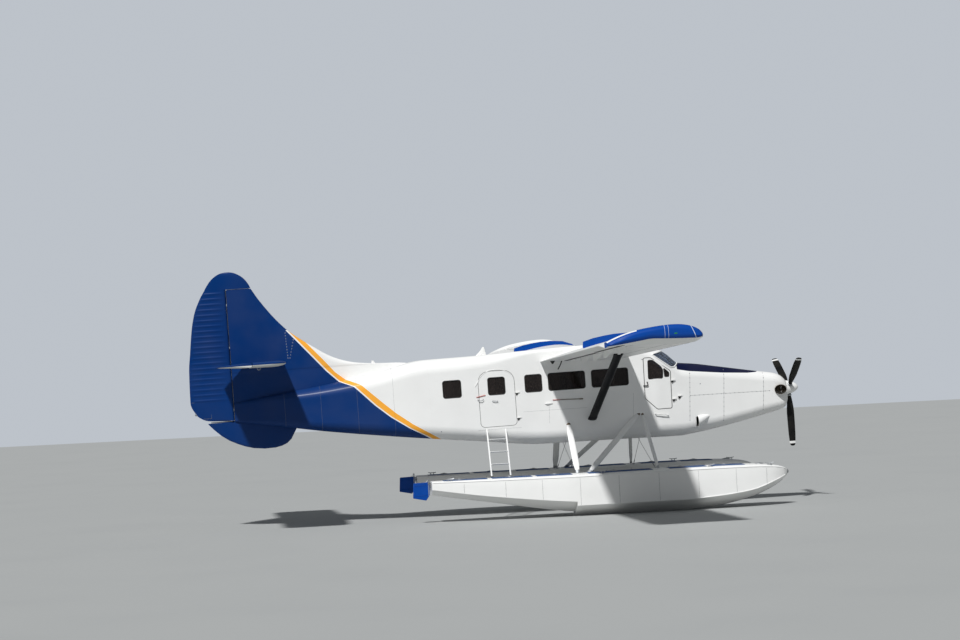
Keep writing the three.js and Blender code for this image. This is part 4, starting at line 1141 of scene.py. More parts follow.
def bead(place):
    """How far the skin rises at a place along the span."""
    share = abs((place + BEAD_PITCH / 2) % BEAD_PITCH - BEAD_PITCH / 2) / (BEAD_WIDTH / 2)
    return BEAD_RISE * (0.5 + 0.5 * math.cos(math.pi * min(share, 1.0)))


def beaded_ring(trailing, hinge_x, nose, rise):
    """A wedge with a round nose: x and half thickness, from the trailing edge forward on one side and back."""
    half = []
    for share in (0.0, 0.04, 0.12, 0.3, 0.55, 0.8, 0.94):
        x = trailing + (hinge_x - trailing) * share
        swell = rise * min(1.0, share / 0.12) * min(1.0, (0.94 - share) / 0.14 + 0.05)
        half.append((x, TRAILING_HALF + (nose - TRAILING_HALF) * share + swell))
    arc = [(hinge_x + nose * math.cos(a), nose * math.sin(a))
           for a in np.linspace(math.pi / 2, -math.pi / 2, 9)]
    return half + arc + [(x, -y) for x, y in half[::-1]]


def bead_places(low, high):
    """Fine steps along the span, so that each bead has its shape."""
    count = round((high - low) / (BEAD_PITCH / 8))
    return np.linspace(low, high, count + 1)


def build_rudder():
    heights = bead_places(RUDDER_FOOT, FIN_TOP + TIP_GAP)
    rings = []
    for z in heights:
        rise = bead(z) if z > RUDDER_PLAIN else 0
        ring = beaded_ring(RUDDER_EDGE.at(z)[0][0], TAIL_HINGE_X, RUDDER_NOSE, rise)
        rings.append([(x, y, z) for x, y in ring])
    body = loft(rings)
    rings = []
    for z in np.concatenate([np.linspace(FIN_TOP + TIP_GAP, 2520, 14), [2545, 2562, 2574, 2582, 2588]]):
        leading, trailing, thick = HORN.at(z)[0]
        half = []
        for share in (0.0, 0.015, 0.05, 0.11, 0.2, 0.34, 0.5, 0.75, 1.0):
            swell = quarter_round(share / 0.4) * (1 - 0.93 * max(0, share - 0.34) / 0.66)
            half.append((leading + (trailing - leading) * share, thick * swell))
        rings.append(both_sides(half, lambda x, y: (x, y, z)))
    rudder = boolean(body, loft(rings), "UNION")
    piece("rudder skin", rudder, tail_blue, ["rudder"], body="rudder", sharp=50)


def build_elevator():
    halves = []
    for way in (1, -1):
        rings = []
        for y in bead_places(ELEVATOR_ROOT, STAB_HALF_SPAN):
            ring = beaded_ring(ELEVATOR_EDGE.at(y)[0][0], ELEVATOR_HINGE_X, ELEVATOR_NOSE, bead(y) * 0.8)
            rings.append([(x, way * y, STAB_Z + z) for x, z in ring])
        corner = [(-8560, 90), (-9300, 470), (-9300, -10), (-8560, -10)]
        cut = loft([[(x, way * y, z) for x, y in corner] for z in (STAB_Z - 200, STAB_Z + 200)])
        halves.append(boolean(loft(rings), cut))
    shaft = disc((ELEVATOR_HINGE_X, 0, STAB_Z), (0, 1, 0), 20, 220)
    piece("elevator skin", joined(halves + [shaft]), tailplane_paint, ["elevator"], body="elevator", sharp=50)


build_rudder()
build_elevator()

# %% [markdown]
# A thin keel fin hangs under the tail, thickest in its middle and sharp all round.

# %% Ventral fin
VENTRAL = [
    # x, z, from the rear corner round the bottom to the front, and back inside the tail cone
    (-9423, -752), (-9300, -890), (-9135, -1045), (-8970, -1160), (-8798, -1245), (-8620, -1318),
    (-8436, -1368), (-8200, -1396), (-7956, -1390), (-7810, -1360), (-7690, -1310), (-7590, -1220),
    (-7526, -1110), (-7440, -960), (-7800, -800), (-8840, -742)]


def build_ventral():
    middle = [sum(p[i] for p in VENTRAL) / len(VENTRAL) for i in (0, 1)]
    rings = []
    for share, y in ((0.80, -22), (0.94, -16), (1.0, -4), (1.0, 4), (0.94, 16), (0.80, 22)):
        rings.append([(middle[0] + (x - middle[0]) * share, y,
                       middle[1] + (z - middle[1]) * share if z < -800 else z) for x, z in VENTRAL])
    keel = boolean(loft(rings), hull(TAIL_END, CABIN_REAR, 0))
    keel = boolean(keel, block((-9600, -200, -742), (FIN_REAR, 200, 0)))
    piece("ventral fin skin", keel, tail_blue, ["ventral_fin"], sharp=40)


build_ventral()

# %% [markdown]
# Each float has a crowned deck, flat sides, a hard chine and a vee bottom.
# The bottom has a step, where the float breaks from the water.
# Front and rear parts are skinned apart and joined, which leaves the step sharp.

# %% Floats
FLOAT_Y, DECK_Z, STEP_X, STERN_X = 1650, 910, -1500, -4642
FLOAT_REAR = Table([
    # x, half deck, deck, half beam at chine, chine, keel
    (STERN_X, 225, 905, 232, 735, 610), (-3400, 350, 905, 365, 540, 400), (STEP_X - 20, 455, 905, 470, 330, 96),
    (STEP_X + 10, 456, 905, 470, 328, 94)])
FLOAT_FRONT = Table([
    (STEP_X, 455, 905, 478, 240, 0), (900, 455, 925, 478, 250, 0), (1600, 450, 928, 468, 285, 45),
    (2400, 415, 920, 425, 376, 190), (2900, 330, 890, 335, 530, 372), (3180, 205, 838, 205, 640, 540),
    (3270, 120, 795, 116, 676, 612), (3305, 70, 770, 66, 690, 645)])


def float_ring(x, table, y):
    deck_half, deck, chine_half, chine, keel = table.at(x)[0]
    grow = deck_half / 455
    bend = 40 * grow
    half = [(0, deck + 22 * grow), (deck_half * 0.4, deck + 19 * grow), (deck_half * 0.8, deck + 9 * grow)]
    for a in (90, 67, 45, 22, 0):
        t = math.radians(a)
        half.append((deck_half - bend + bend * math.cos(t), deck - bend + bend * math.sin(t)))
    half += [(deck_half + (chine_half - deck_half) * 0.5, (deck + chine) / 2), (chine_half, chine),
             (chine_half - 6, chine - 6)]
    for share in (0.25, 0.5, 0.75):
        sag = 14 * grow * math.sin(math.pi * share)
        half.append((chine_half + (22 - chine_half) * share, chine + (keel - chine) * share + sag))
    half.append((24 * grow, keel))
    return both_sides([(z, b) for b, z in half], lambda z, b: (x, y + b, z))


def build_float(side, way):
    bow = [3215, 3245, 3270, 3290, 3305]
    places = np.concatenate([np.linspace(STEP_X, 900, 8), np.linspace(1000, 3180, 24), bow])
    front = loft([float_ring(x, FLOAT_FRONT, way * FLOAT_Y) for x in places])
    rear = loft([float_ring(x, FLOAT_REAR, way * FLOAT_Y) for x in np.linspace(STERN_X, STEP_X + 10, 26)])
    whole = boolean(front, rear, "UNION")
    piece("float skin " + side, whole, white_paint, ["float_" + side], place=STAND, sharp=28)


build_float("left", 1)
build_float("right", -1)

# %% [markdown]
# The legs are streamlined tubes. A fat teardrop section is skinned between two points.

# %% Legs and braces
def stand_point(x, y, z):
    """A place on the level airframe, in the floats' axes."""
    return STAND.inverted() @ AIR @ Vector((x, y, z))


def leg_ends(top, foot, way, across=1):
    """The top of a leg on the airframe and its foot on a float, both in the floats' axes."""
    return stand_point(top[0], way * top[1], top[2]), Vector((foot[0], across * way * foot[1], foot[2]))


def strut(start, end, chord, thick, taper=0):
    start, end = Vector(start), Vector(end)
    axis = (end - start).normalized()
    centres, sizes = [start, end], [1, 1]
    if taper:
        centres = [start, start + axis * 60, start + axis * taper, start.lerp(end, 0.5), end - axis * taper,
                   end - axis * 60, end]
        sizes = [0.5, 0.56, 0.96, 1, 0.96, 0.56, 0.5]
    fore = (Vector((1, 0, 0)) - axis * axis.x).normalized()
    across = axis.cross(fore)
    section = []
    for angle in turns(24):
        along = math.cos(angle)
        section.append((chord / 2 * along, thick / 2 * math.sin(angle) * (1 + 0.25 * along)))
    return loft([[centre + (fore * a + across * b) * size for a, b in section]
                 for centre, size in zip(centres, sizes)])


FLOAT_STRUTS = [
    # kind, top on the airframe, foot on the float, chord, thickness
    ("front", (240, 768, -1215), (414, 1650, 918), 82, 44),
    ("front", (185, 768, -1212), (-1150, 1650, 918), 128, 44),
    ("rear", (-1447, 768, -1312), (-1385, 1650, 918), 145, 48),
]
WING_STRUT = ((-902, 790, -1277), (-844, 4400, 158))
LEG_TAPER = 260
for side, way in (("left", 1), ("right", -1)):
    for kind in ("front", "rear"):
        legs = [strut(*leg_ends(top, foot, way), chord, thick, LEG_TAPER)
                for name, top, foot, chord, thick in FLOAT_STRUTS if name == kind]
        where = kind + "_" + side
        piece("float legs " + where, joined(legs), white_paint, ["float_strut_" + where], place=STAND)
    brace = strut(*[(x, way * y, z) for x, y, z in WING_STRUT], 190, 70)
    piece("wing strut skin " + side, brace, navy_paint, ["wing_strut_" + side])
for name, x in (("front", 414), ("rear", -1385)):
    bar = strut((x, -1210, 780), (x, 1210, 780), 96, 70)
    piece("spreader bar " + name, bar, white_paint, ["spreader_" + name], place=STAND)

# %% [markdown]
# The propeller is parked feathered, with its blades edge-on to the wind.
# A blade is a skin through turned ovals, and the spinner is a profile spun round the shaft.

# %% Propeller and spinner
PROP_X, PROP_RADIUS, SPINNER_RADIUS = 3838, 1340, 165
BLADE = Table([
    # radius, chord, thickness, pitch away from feathered in degrees
    (92, 84, 84, 0), (180, 84, 80, 0), (300, 120, 48, -4), (600, 172, 28, 0), (1000, 168, 18, 5),
    (1270, 138, 12, 8), (1320, 112, 10, 8), (PROP_RADIUS, 60, 7, 9)])


def blade_ring(radius, proud=0.0):
    chord, thick, pitch = BLADE.at(radius)[0] + (2 * proud, 2 * proud, 0)
    turn = math.radians(pitch)
    ring = []
    for angle in turns(20):
        along, across = chord / 2 * math.cos(angle), thick / 2 * math.sin(angle)
        ring.append((along * math.cos(turn) - across * math.sin(turn),
                     along * math.sin(turn) + across * math.cos(turn), -radius))
    return ring


def at_hub(bm, number):
    matrix = Matrix.Translation((PROP_X, 0, PROP_Z)) @ Matrix.Rotation(math.radians(number * 120), 4, "X")
    bmesh.ops.transform(bm, matrix=matrix, verts=bm.verts)
    return bm


def build_propeller():
    radii = np.concatenate([np.linspace(92, 1270, 30), [1290, 1305, 1320, 1332, PROP_RADIUS]])
    parts = [at_hub(loft([blade_ring(r) for r in radii]), n) for n in range(3)]
    parts.append(disc((NOSE_FRONT + 66, 0, PROP_Z), (1, 0, 0), 104, 88, 32))
    parts.append(disc((3600, 0, PROP_Z), (1, 0, 0), 50, 400, 24))
    piece("propeller blades", joined(parts), blade_black, ["propeller"], body="propeller")
    bands = [at_hub(loft([blade_ring(r, 1.5) for r in (1232, 1250, 1268, 1286)]), n) for n in range(3)]
    piece("blade bands", joined(bands), white_paint, body="propeller")


def build_spinner():
    profile = Table([(0, SPINNER_RADIUS), (40, 160), (130, 138), (215, 100), (275, 52), (292, 26), (300, 0.5)])
    bm = bmesh.new()
    heights = [0, 15, 40, 70, 100, 130, 165, 195, 220, 245, 265, 280, 290, 296, 300]
    verts = [bm.verts.new((h, profile.at(h)[0][0], 0)) for h in heights]
    edges = [bm.edges.new(pair) for pair in zip(verts, verts[1:])]
    bmesh.ops.spin(bm, geom=verts + edges, cent=(0, 0, 0), axis=(1, 0, 0), angle=2 * math.pi, steps=48,
                   use_merge=True)
    bmesh.ops.remove_doubles(bm, verts=bm.verts, dist=0.01)
    bmesh.ops.holes_fill(bm, edges=[e for e in bm.edges if e.is_boundary], sides=0)
    bmesh.ops.recalc_face_normals(bm, faces=bm.faces)
    bmesh.ops.translate(bm, vec=(NOSE_FRONT + 10, 0, PROP_Z), verts=bm.verts)
    for number in range(3):
        bm = boolean(bm, at_hub(disc((0, 0, -230), (0, 0, 1), 56, 260, 24), number))
    piece("spinner skin", bm, white_paint, ["spinner"], body="propeller")


build_propeller()
build_spinner()

# %% [markdown]
# Close up, what tells an airplane is its joints: rows of rivets and fasteners, panel gaps, hinges and handles.
# A head is a low cone of six or eight sides, set square to the skin. A gap is a thin dark bead half sunk in it.

# %% Rivets, panel lines and small fittings
def skin_spot(x, z, way):
    """A place on the fuselage skin and the direction out of it."""
    place = Vector((x, way * hull_side(x, z), z))
    return place, Vector(out_of_skin(np.array([place[:]]))[0])


def between(start, end, spacing):
    """Evenly spaced points of a straight line, both ends included."""
    start, end = Vector(start), Vector(end)
    count = max(1, round((end - start).length / spacing))
    return [start.lerp(end, i / count) for i in range(count + 1)]


def studs(spots, radius, rise, sides=6):
    """Rivet or fastener heads, each at a place and square to a direction."""
    bm = bmesh.new()
    for place, out in spots:
        turn = Vector((0, 0, 1)).rotation_difference(out).to_matrix().to_4x4()
        bmesh.ops.create_cone(bm, cap_ends=True, segments=sides, radius1=radius, radius2=radius * 0.65,
                              depth=rise + 2, matrix=Matrix.Translation(place + out * (rise / 2 - 1)) @ turn)
    return bm


def skin_row(start, end, spacing, way):
    return [skin_spot(x, z, way) for x, z in between(start, end, spacing)]


def skin_line(start, end, way, radius=3.0, sink=1.0, spacing=60):
    """A bar along the skin, sunk into it or, with a negative sink, standing off it."""
    return tube([place - out * sink for place, out in skin_row(start, end, spacing, way)], radius)


def side_wedge(x, y, z, way, plan, low, high, forward=1):
    """A small wedge on the fuselage side. Its plan is given along and outwards from a place on the skin."""
    outline = [(x + forward * along, way * (y + out)) for along, out in plan]
    return rounded(loft([[(px, py, height) for px, py in outline] for height in (z + low, z + high)]), 3)


def standing_bar(points, way, radius, out):
    """A grab bar that stands off the skin on its two bent ends."""
    places = [skin_spot(x, z, way) for x, z in points]
    path = [places[0][0]] + [place + normal * out for place, normal in places] + [places[-1][0]]
    return tube(path, radius)


print("a spot on the cowl:", skin_spot(2200, -900, -1))

# %% [markdown]
# The cowl panels are held by quarter-turn fasteners a hand's width apart, which show as dark dots.
# The tail cone and the lower cabin sides are riveted, and rivets under paint show only as low bumps.

# %% Fuselage joints
COWL_LINES = [((1424, -420), (1345, -1480)), ((2234, -500), (2155, -1540)), ((3186, -540), (3117, -1370)),
              ((1401, -922), (3300, -955))]
TAIL_RINGS = (-5300, -6100, -6900, -7700)
TAIL_ROWS = [((-4540, 60), (-7900, -330)), ((-4540, -330), (-8500, -480)), ((-4540, -800), (-8500, -640)),
             ((-4540, -1150), (-7200, -900))]
CABIN_LINES = [((73, -760), (31, -1400)), ((-1851, -900), (-1867, -1300)), ((-3480, -1340), (-2500, -1340)),
               ((-2440, -1000), (-1000, -1010))]


def build_joints():
    fasteners, rivets, gaps = [], [], []
    for way in (-1, 1):
        for start, end in COWL_LINES:
            gaps.append(skin_line(start, end, way))
            fasteners += skin_row(start, end, 104, way)
        for start, end in TAIL_ROWS:
            rivets += skin_row(start, end, 85, way)
        for start, end in CABIN_LINES:
            gaps.append(skin_line(start, end, way, 2.0))
            rivets += skin_row(start, end, 70, way)
    for x in TAIL_RINGS:
        gaps.append(tube([Vector(point) for point in hull_ring(x, 1.0)], 2.0, cyclic=True))
        ring = [Vector(point) for point in hull_ring(x + 25)]
        for a, b in zip(ring, ring[1:] + ring[:1]):
            places = between(a, b, 80)[:-1]
            rivets += zip(places, map(Vector, out_of_skin(np.array(places))))
    piece("fuselage panel gaps", joined(gaps), seam_grey)
    piece("cowl fasteners", studs(fasteners, 12, 3, 8), steel)
    piece("fuselage rivets", studs(rivets, 6, 2), fuselage_paint)


build_joints()

# %% [markdown]
# Black rubber fills the gap round each door. Round the cockpit doors it is thicker, and the extra width is
# painted shadow under the door's edge. It stays on the fuselage when the door opens.

# %% Door seals and hinges
HINGES = {
    # door: x of its hinge line, which way is away from the door, heights
    "cabin_door": (-2590, 1, (-560, -1120)),
    "cargo_door_rear": (-3416, -1, (-200, -1120)),
    "cargo_door_front": (-1920, 1, (-200, -1120)),
    "cockpit_door_right": (962, 1, (-545, -965)),
    "cockpit_door_left": (962, 1, (-545, -965)),
}
HINGE_ARM = [(-2, 0), (105, -2), (100, 12), (12, 44), (-2, 44)]
# A black wedge under each hinge arm is painted shadow, where the arm shades the skin.
HINGE_SHADE = [(8, 0), (62, 0), (14, 32)]
# The second width is for the cockpit doors: a real seal, widened to paint the shadow under the door's edge.
SEAL, COCKPIT_SEAL_AND_SHADOW = 5, 8


def build_door_trim(name, points, radius, side):
    way = WAYS[side]
    path = [skin_spot(p.x, p.z, way) for p in ring_of(points, radius, shrink=DOOR_GAP / 2)]
    # The wider cockpit seal is part rubber seal, part painted shadow.
    width = COCKPIT_SEAL_AND_SHADOW if "cockpit" in name else SEAL
    piece(name + " seal", tube([place - out * 1.5 for place, out in path], width, cyclic=True), black_rubber)
    x, forward, heights = HINGES[name]
    places = [(x, hull_side(x, z) - 3, z, way) for z in heights]
    arms = [side_wedge(*place, HINGE_ARM, -9, 9, forward) for place in places]
    # The black wedges below the arms are painted shadow.
    shade_wedges = [side_wedge(*place, HINGE_SHADE, -52, -9, forward) for place in places]
    pieces([(name + " hinge arms", arms, white_paint), (name + " hinge gussets", shade_wedges, black_rubber)])


def build_drip_rail():
    """A thin rail over the round top of the cabin door. Its rear end kicks out and lets the rain run off."""
    path = []
    for centre, start, end in ((-2945, 0.45, math.pi / 2), (-3061, math.pi / 2, 2.65)):
        path += [(centre + 372 * math.cos(a), -390 + 372 * math.sin(a)) for a in np.linspace(start, end, 9)]
    places = [skin_spot(x, z, -1) for x, z in path + [(-3440, -310), (-3482, -360)]]
    rail = joined([tube([place + out * 2 for place, out in places], 6),
                   tube([place + out * 3 for place, out in places[-3:]], 9)])
    piece("cabin door drip rail", rail, white_paint)


for name, points, radius, side, _ in DOORS:
    build_door_trim(name, points, radius, side)
build_drip_rail()

# %% [markdown]
# Each door has its own handle. The rear exit window has a long release rod below it, with a red end.

# %% Handles, steps and small openings
LATCH = [(0, -4), (185, -4), (185, 10), (50, 34), (0, 6)]
# The second plan is a black wedge under each vent: painted shadow on the skin.
VENT, VENT_SHADE = [(0, -12), (105, -16), (100, -2), (0, 38)], [(8, -8), (70, -12), (8, 26)]
DRAINS = ((328, -31), (1653, -674), (2248, -400), (-4300, -1300))
BLADE_ANTENNA = ((-5640, 318, 46), (-5648, 350, 36), (-5660, 390, 20))
FIN_ANTENNA = [
    # rear, front, half thickness, height
    (-3390, -3070, 13, 270), (-3360, -3078, 12, 296), (-3270, -3090, 10, 372), (-3205, -3102, 9, 440),
    (-3168, -3112, 7, 490), (-3152, -3124, 4, 512)]


def build_handles():
    for side, way in WAYS.items():
        # The cockpit handle is a real handle, and its black also paints the shade of its recess.
        lever = standing_bar([(322, -622), (404, -626), (414, -606), (404, -548)], way, 13, 22)
        piece("cockpit handle " + side, lever, black_rubber, body="cockpit_door_" + side)
    grab = [standing_bar([(-3445, -655), (-3415, -684), (-3350, -684), (-3320, -655)], -1, 7, 30),
            standing_bar([(-3115, -706), (-3060, -715), (-3002, -716)], -1, 9, 26)]
    pieces([("cabin door handle", grab, alloy),
            ("cabin door release", [skin_line((-3470, -600), (-3265, -566), -1, 8, -10)], red_paint)],
           body="cabin_door")
    for name, x in (("cargo_door_rear", -2680), ("cargo_door_front", -2500)):
        piece(name + " handle", standing_bar([(x - 60, -720), (x + 60, -720)], 1, 9, 34), alloy, body=name)


def build_side_fittings():
    rods, ends, latches, vents, shadows, steps = [], [], [], [], [], []
    for way in (-1, 1):
        rods += [skin_line((-1590, -791), (-1130, -806), way, 8, -9, 80),
                 standing_bar([(-1150, -806), (-1085, -808)], way, 13, 14)]
        ends.append(skin_line((-1760, -785), (-1585, -791), way, 8, -9))
        latches.append(side_wedge(-1950, hull_side(-1900, -850), -868, way, LATCH, 0, 26))
        vent = (1100, hull_side(1100, -905), -905, way)
        vents.append(side_wedge(*vent, VENT, -12, 12))
        # A black wedge below each vent is painted shadow.
        shadows.append(side_wedge(*vent, VENT_SHADE, -62, -12))
        steps.append(standing_bar([(540, -1266), (680, -1290), (825, -1312)], way, 13, 42))
    plugs = studs([skin_spot(x, z, way) for way in (-1, 1) for x, z in DRAINS], 14, 6, 12)
    drain = tube([(332, -560, -1600), (430, -600, -1592), (514, -640, -1600)], 13)
    pieces([("window release rods", rods, stain_and_shade_steel), ("window release ends", ends, red_paint),
            ("latches and vents", latches + vents, white_paint), ("vent mouths", shadows, black_rubber),
            ("cockpit steps", steps, white_paint), ("drains and plugs", [plugs], steel),
            ("belly drain pipe", [drain], stain_and_shade_steel)])


def build_antennas():
    blade = loft([[(x + dx, dy, z) for dx, dy in ((-half, 0), (0, -6), (half, 0), (0, 6))]
                  for x, z, half in BLADE_ANTENNA])
    fin = loft([[((rear + front) / 2 + (front - rear) / 2 * math.cos(turn), thick * math.sin(turn), z)
                 for turn in turns(16)] for rear, front, thick, z in FIN_ANTENNA])
    piece("antennas", joined([blade, fin]), white_paint)


build_handles()
build_side_fittings()
build_antennas()

# %% [markdown]
# A raised frame runs round the windshield: up the side, along the sill and across in front of the panes.
# Its path is followed on the skin, and the flat roof and hood parts are added at its ends.

# %% Windshield frame
def windshield_path(way, out):
    """Up the side, along the sill and across the hood, followed on the skin."""
    start, crown, front, sill = WINDSHIELD
    rise = (crown[1] - start[1]) / (crown[0] - start[0])
    fall = (front[1] - sill[1]) / (front[0] - sill[0])
    roof = [(x, start[1] + (x - start[0]) * rise) for x in np.linspace(830, start[0] + 45, 9)]
    side = between((start[0] + 18, start[1] - 12), (sill[0] - 42, sill[1] + 28), 60)
    hood = [(x, sill[1] + (x - sill[0]) * fall) for x in np.linspace(sill[0] + 34, 1176, 8)]
    path = []
    for x, z in roof + [tuple(p) for p in side] + hood:
        place, normal = skin_spot(x, min(z, HULL.at(x)[0][1] - 0.5), way)
        path.append(place + normal * out)
    path.insert(0, Vector((path[0].x, 0, path[0].z)))
    path.append(Vector((path[-1].x, 0, path[-1].z)))
    return path


def build_windshield_frame():
    frames = [tube(windshield_path(way, 3), 14, sides=12) for way in (-1, 1)]
    frames.append(tube([(850, 0, 137), (1000, 0, 8), (1140, 0, -104), (1182, 0, -150)], 12))
    piece("windshield frame", joined(frames), white_paint)
    wipers = []
    for way in (-1, 1):
        wipers.append(tube([(1196, way * 210, -160), (1160, way * 150, -105), (1060, way * 70, -18)], 6))
        wipers.append(tube([(1128, way * 66, -74), (990, way * 74, 44)], 7))
    piece("windshield wipers", joined(wipers), black_rubber)


build_windshield_frame()

# %% [markdown]
# Wing skins are riveted to spars and ribs, and the tanks, lamps and hinges need their own small parts.

# %% Wing fittings
SPARS, RIB_PITCH, RIVET_PITCH = (0.1, 0.32, 0.66), 560, 96
CAPS, PLATES, PITOT_Y, LAMP_X, LAMP_Z = (1750, 3300), (2400, 3800, 5900, 7300), 6300, -515, 212


def wing_spot(c, side, y):
    """A place on the wing skin and the direction out of it; negative y is the right wing."""
    x, z = wing_point(c, side)
    ahead, behind = wing_point(c - 0.01, side), wing_point(c + 0.01, side)
    out = Vector((ahead[1] - behind[1], 0, behind[0] - ahead[0])) * -side
    out.z = abs(out.z) * side
    return Vector((x, y, z + lift(y))), out.normalized()


def build_wing_fittings():
    rivets, lines, caps, plates, root = [], [], [], [], []
    for way in (-1, 1):
        for side in (-1, 1):
            for c in SPARS:
                rivets += [wing_spot(c, side, way * y) for y in np.arange(860, 8540, RIVET_PITCH)]
                lines.append(tube([wing_spot(c + 0.006, side, way * y)[0] for y in (815, 8550)], 2))
            for y in np.arange(1100, 8500, RIB_PITCH):
                rivets += [wing_spot(c, side, way * y) for c in np.arange(0.04, 0.7, 0.055)]
        for y in CAPS:
            place, out = wing_spot(0.22, 1, way * y)
            caps += [disc(place + out * 2, out, 55, 12, 24, 3), disc(place + out * 9, out, 30, 8, 6, 2)]
        for y in PLATES:
            plates.append(disc(*wing_spot(0.45, -1, way * y), 85, 8, 28, 2))
        root.append(tube([(x, way * 806, z) for x, z in wing_outline(0.985, 20)], 11, cyclic=True))
    pieces([("wing rivets", [studs(rivets, 6, 2)], white_paint), ("wing panel lines", lines, seam_grey),
            ("fuel caps", caps, alloy), ("wing inspection plates", plates, white_paint),
            ("wing root strips", root, white_paint)])


def build_lamps_and_pitot():
    for side, lens in (("right", green_lens), ("left", red_lens)):
        place = (LAMP_X, WAYS[side] * (SEMI_SPAN - 16), LAMP_Z + lift(SEMI_SPAN))
        piece("navigation lamp " + side, ball(place, (62, 20, 24), 20, 12), lens)
    rise = lift(PITOT_Y)
    probe = [tube([(wing_point(0.02, -1)[0] - 60, PITOT_Y, wing_point(0.04, -1)[1] + rise - 2),
                   (-40, PITOT_Y, rise - 60), (180, PITOT_Y, rise - 62)], 10),
             disc((200, PITOT_Y, rise - 62), (1, 0, 0), 7, 70, 12, 2)]
    piece("pitot tube", joined(probe), alloy)


build_wing_fittings()
build_lamps_and_pitot()

# %% [markdown]
# A dark strip along each slot is painted shade of the flap cove, and a rod and a horn work the inner end of
# each flap.
# The rod and horn ride on the flap, so they turn with it.

# %% Flap details
def standing_plate(points, y, half):
    """An upright plate along the airplane."""
    return loft([[(x, y + off, z) for x, z in points] for off in (-half, half)])


def build_flap_details(side, way):
    # Black strips under the wing ahead of each hinge: painted shade of the slot.
    shade_strips = []
    for _, hinge_at, span in SURFACES:
        rings = []
        for y in np.linspace(span[0] + 130, span[1] - 12, 12):
            row = [wing_spot(hinge_at - ahead, -1, way * y) for ahead in (0.046, 0.026, 0.006)]
            rings.append([place + out * 2 for place, out in row]
                         + [place - out * 4 for place, out in row[::-1]])
        shade_strips.append(loft(rings))
    rods = [tube([(-1505, way * 955, 100), (-1560, way * 955, -20), (-1618, way * 955, -112)], 13),
            standing_plate([(-1830, 104), (-1700, 96), (-1755, 18), (-1778, 18)], way * 1205, 9)]
    piece("flap slot shrouds " + side, joined(shade_strips), black_rubber)
    piece("flap rods " + side, joined(rods), black_rubber, body="flap_" + side)


for side, way in WAYS.items():
    build_flap_details(side, way)

# %% [markdown]
# The fin is riveted along its ribs, with brighter heads on two bare straps. The rudder turns on three brackets,
# a ring under each side of the tailplane takes a tie-down rope, and a lamp ends the rudder.

# %% Tail fittings
FIN_STRAPS = [((-7571, 1145), (-7544, 583)), ((-7400, 980), (-7500, 580))]
FIN_ROWS = [((-8060, 1800), (-8780, 1800)), ((-7800, 1300), (-8780, 1300)), ((-7550, 880), (-8780, 880)),
            ((-8770, 620), (-8770, 2120)), ((-7100, 250), (-8780, 250))]
TAIL_LAMP_Z, TAB_TOP, TAB_FOOT, TAB_FRONT = -535, -262, -640, -9330


def fin_spot(x, z, way):
    leading, thick = FIN.at(z)[0]
    share = (leading - x) / (leading - FIN_REAR)
    y = thick * quarter_round((leading - x) / FIN_NOSE) * (1 - 0.14 * share)
    return Vector((x, way * y, z)), Vector((0, way, 0))


def fin_heads(rows, spacing):
    return [fin_spot(x, z, way) for way in (-1, 1) for start, end in rows
            for x, z in between(start, end, spacing)]


def build_tail_fittings():
    piece("fin rivets", studs(fin_heads(FIN_ROWS, 78), 6, 2), fuselage_paint)
    piece("fin strap rivets", studs(fin_heads(FIN_STRAPS, 66), 8, 3, 8), white_paint)
    brackets = [block((-8850, -30, z - 22), (-8790, 30, z + 22), 6) for z in (-480, 900, 1850)]
    rings = [tube([(-8260 + 34 * math.cos(a), way * 1650, 392 + 34 * math.sin(a)) for a in turns(16)], 6,
                  cyclic=True) for way in (-1, 1)]
    pieces([("rudder hinge brackets", brackets, alloy), ("tailplane rings", rings, alloy)])
    lamp = ball((RUDDER_EDGE.at(TAIL_LAMP_Z)[0][0] - 8, 0, TAIL_LAMP_Z), (26, 16, 30), 16, 10)
    piece("tail lamp", lamp, clear_lens, body="rudder")
    tab = []
    for way in (-1, 1):
        for z in (TAB_TOP, TAB_FOOT):
            trailing = RUDDER_EDGE.at(z)[0][0]
            tab.append(tube([(trailing + 30, way * 6, z), (TAB_FRONT, way * 26, z)], 2.5))
        tab.append(tube([(TAB_FRONT, way * 26, TAB_TOP), (TAB_FRONT, way * 24, TAB_FOOT)], 2.5))
    piece("rudder tab lines", joined(tab), seam_grey, body="rudder")


build_tail_fittings()

# %% [markdown]
# A strip of rubber closes each hinge gap of the tail, so that no light shows through it.

# %% Gap strips
def build_gap_strips():
    strips = [block((FIN_REAR - SURFACE_GAP + 1, -5, -740), (FIN_REAR + 3, 5, FIN_TOP - 2), 1),
              block((-8800, -4, FIN_TOP - 3), (-8300, 4, FIN_TOP + TIP_GAP - 3), 1),
              block((-9350, -4, -744), (FIN_REAR, 4, -726), 1)]
    for way in (-1, 1):
        ends = sorted((way * 110, way * (STAB_HALF_SPAN - 60)))
        strips.append(block((STAB_REAR - SURFACE_GAP + 1, ends[0], STAB_Z - 5),
                            (STAB_REAR + 3, ends[1], STAB_Z + 5), 1))
    piece("hinge gap strips", joined(strips), black_rubber)


build_gap_strips()

# %% [markdown]
# A float is worked on like a dock: it has a rough blue deck covering, round covers, cleats and a rubber nose.
# Rivet rows mark its bulkheads, and a steel strip protects the keel.

# %% Float fittings
DECK_PANELS = ((-4380, -3420), (-3320, -2440), (-2340, -1560), (-1200, 230), (600, 1440), (1540, 2300))
BULKHEADS = (-3950, -3050, -2250, -1420, -560, 330, 1210, 2060, 2760)
HATCHES = (-4000, -2900, -1900, -600, 900, 1900, 2680)
CLEATS = (-4250, -900, 1500, 2850)
WATER_RUDDER = [(-4678, 899), (-5028, 889), (-5048, 562), (-4760, 502), (-4678, 621)]
RUDDER_POST_X, UP = -4700, (0, 0, 1)


def float_row(x):
    table = FLOAT_REAR if x < STEP_X else FLOAT_FRONT
    return table.at(x)[0]


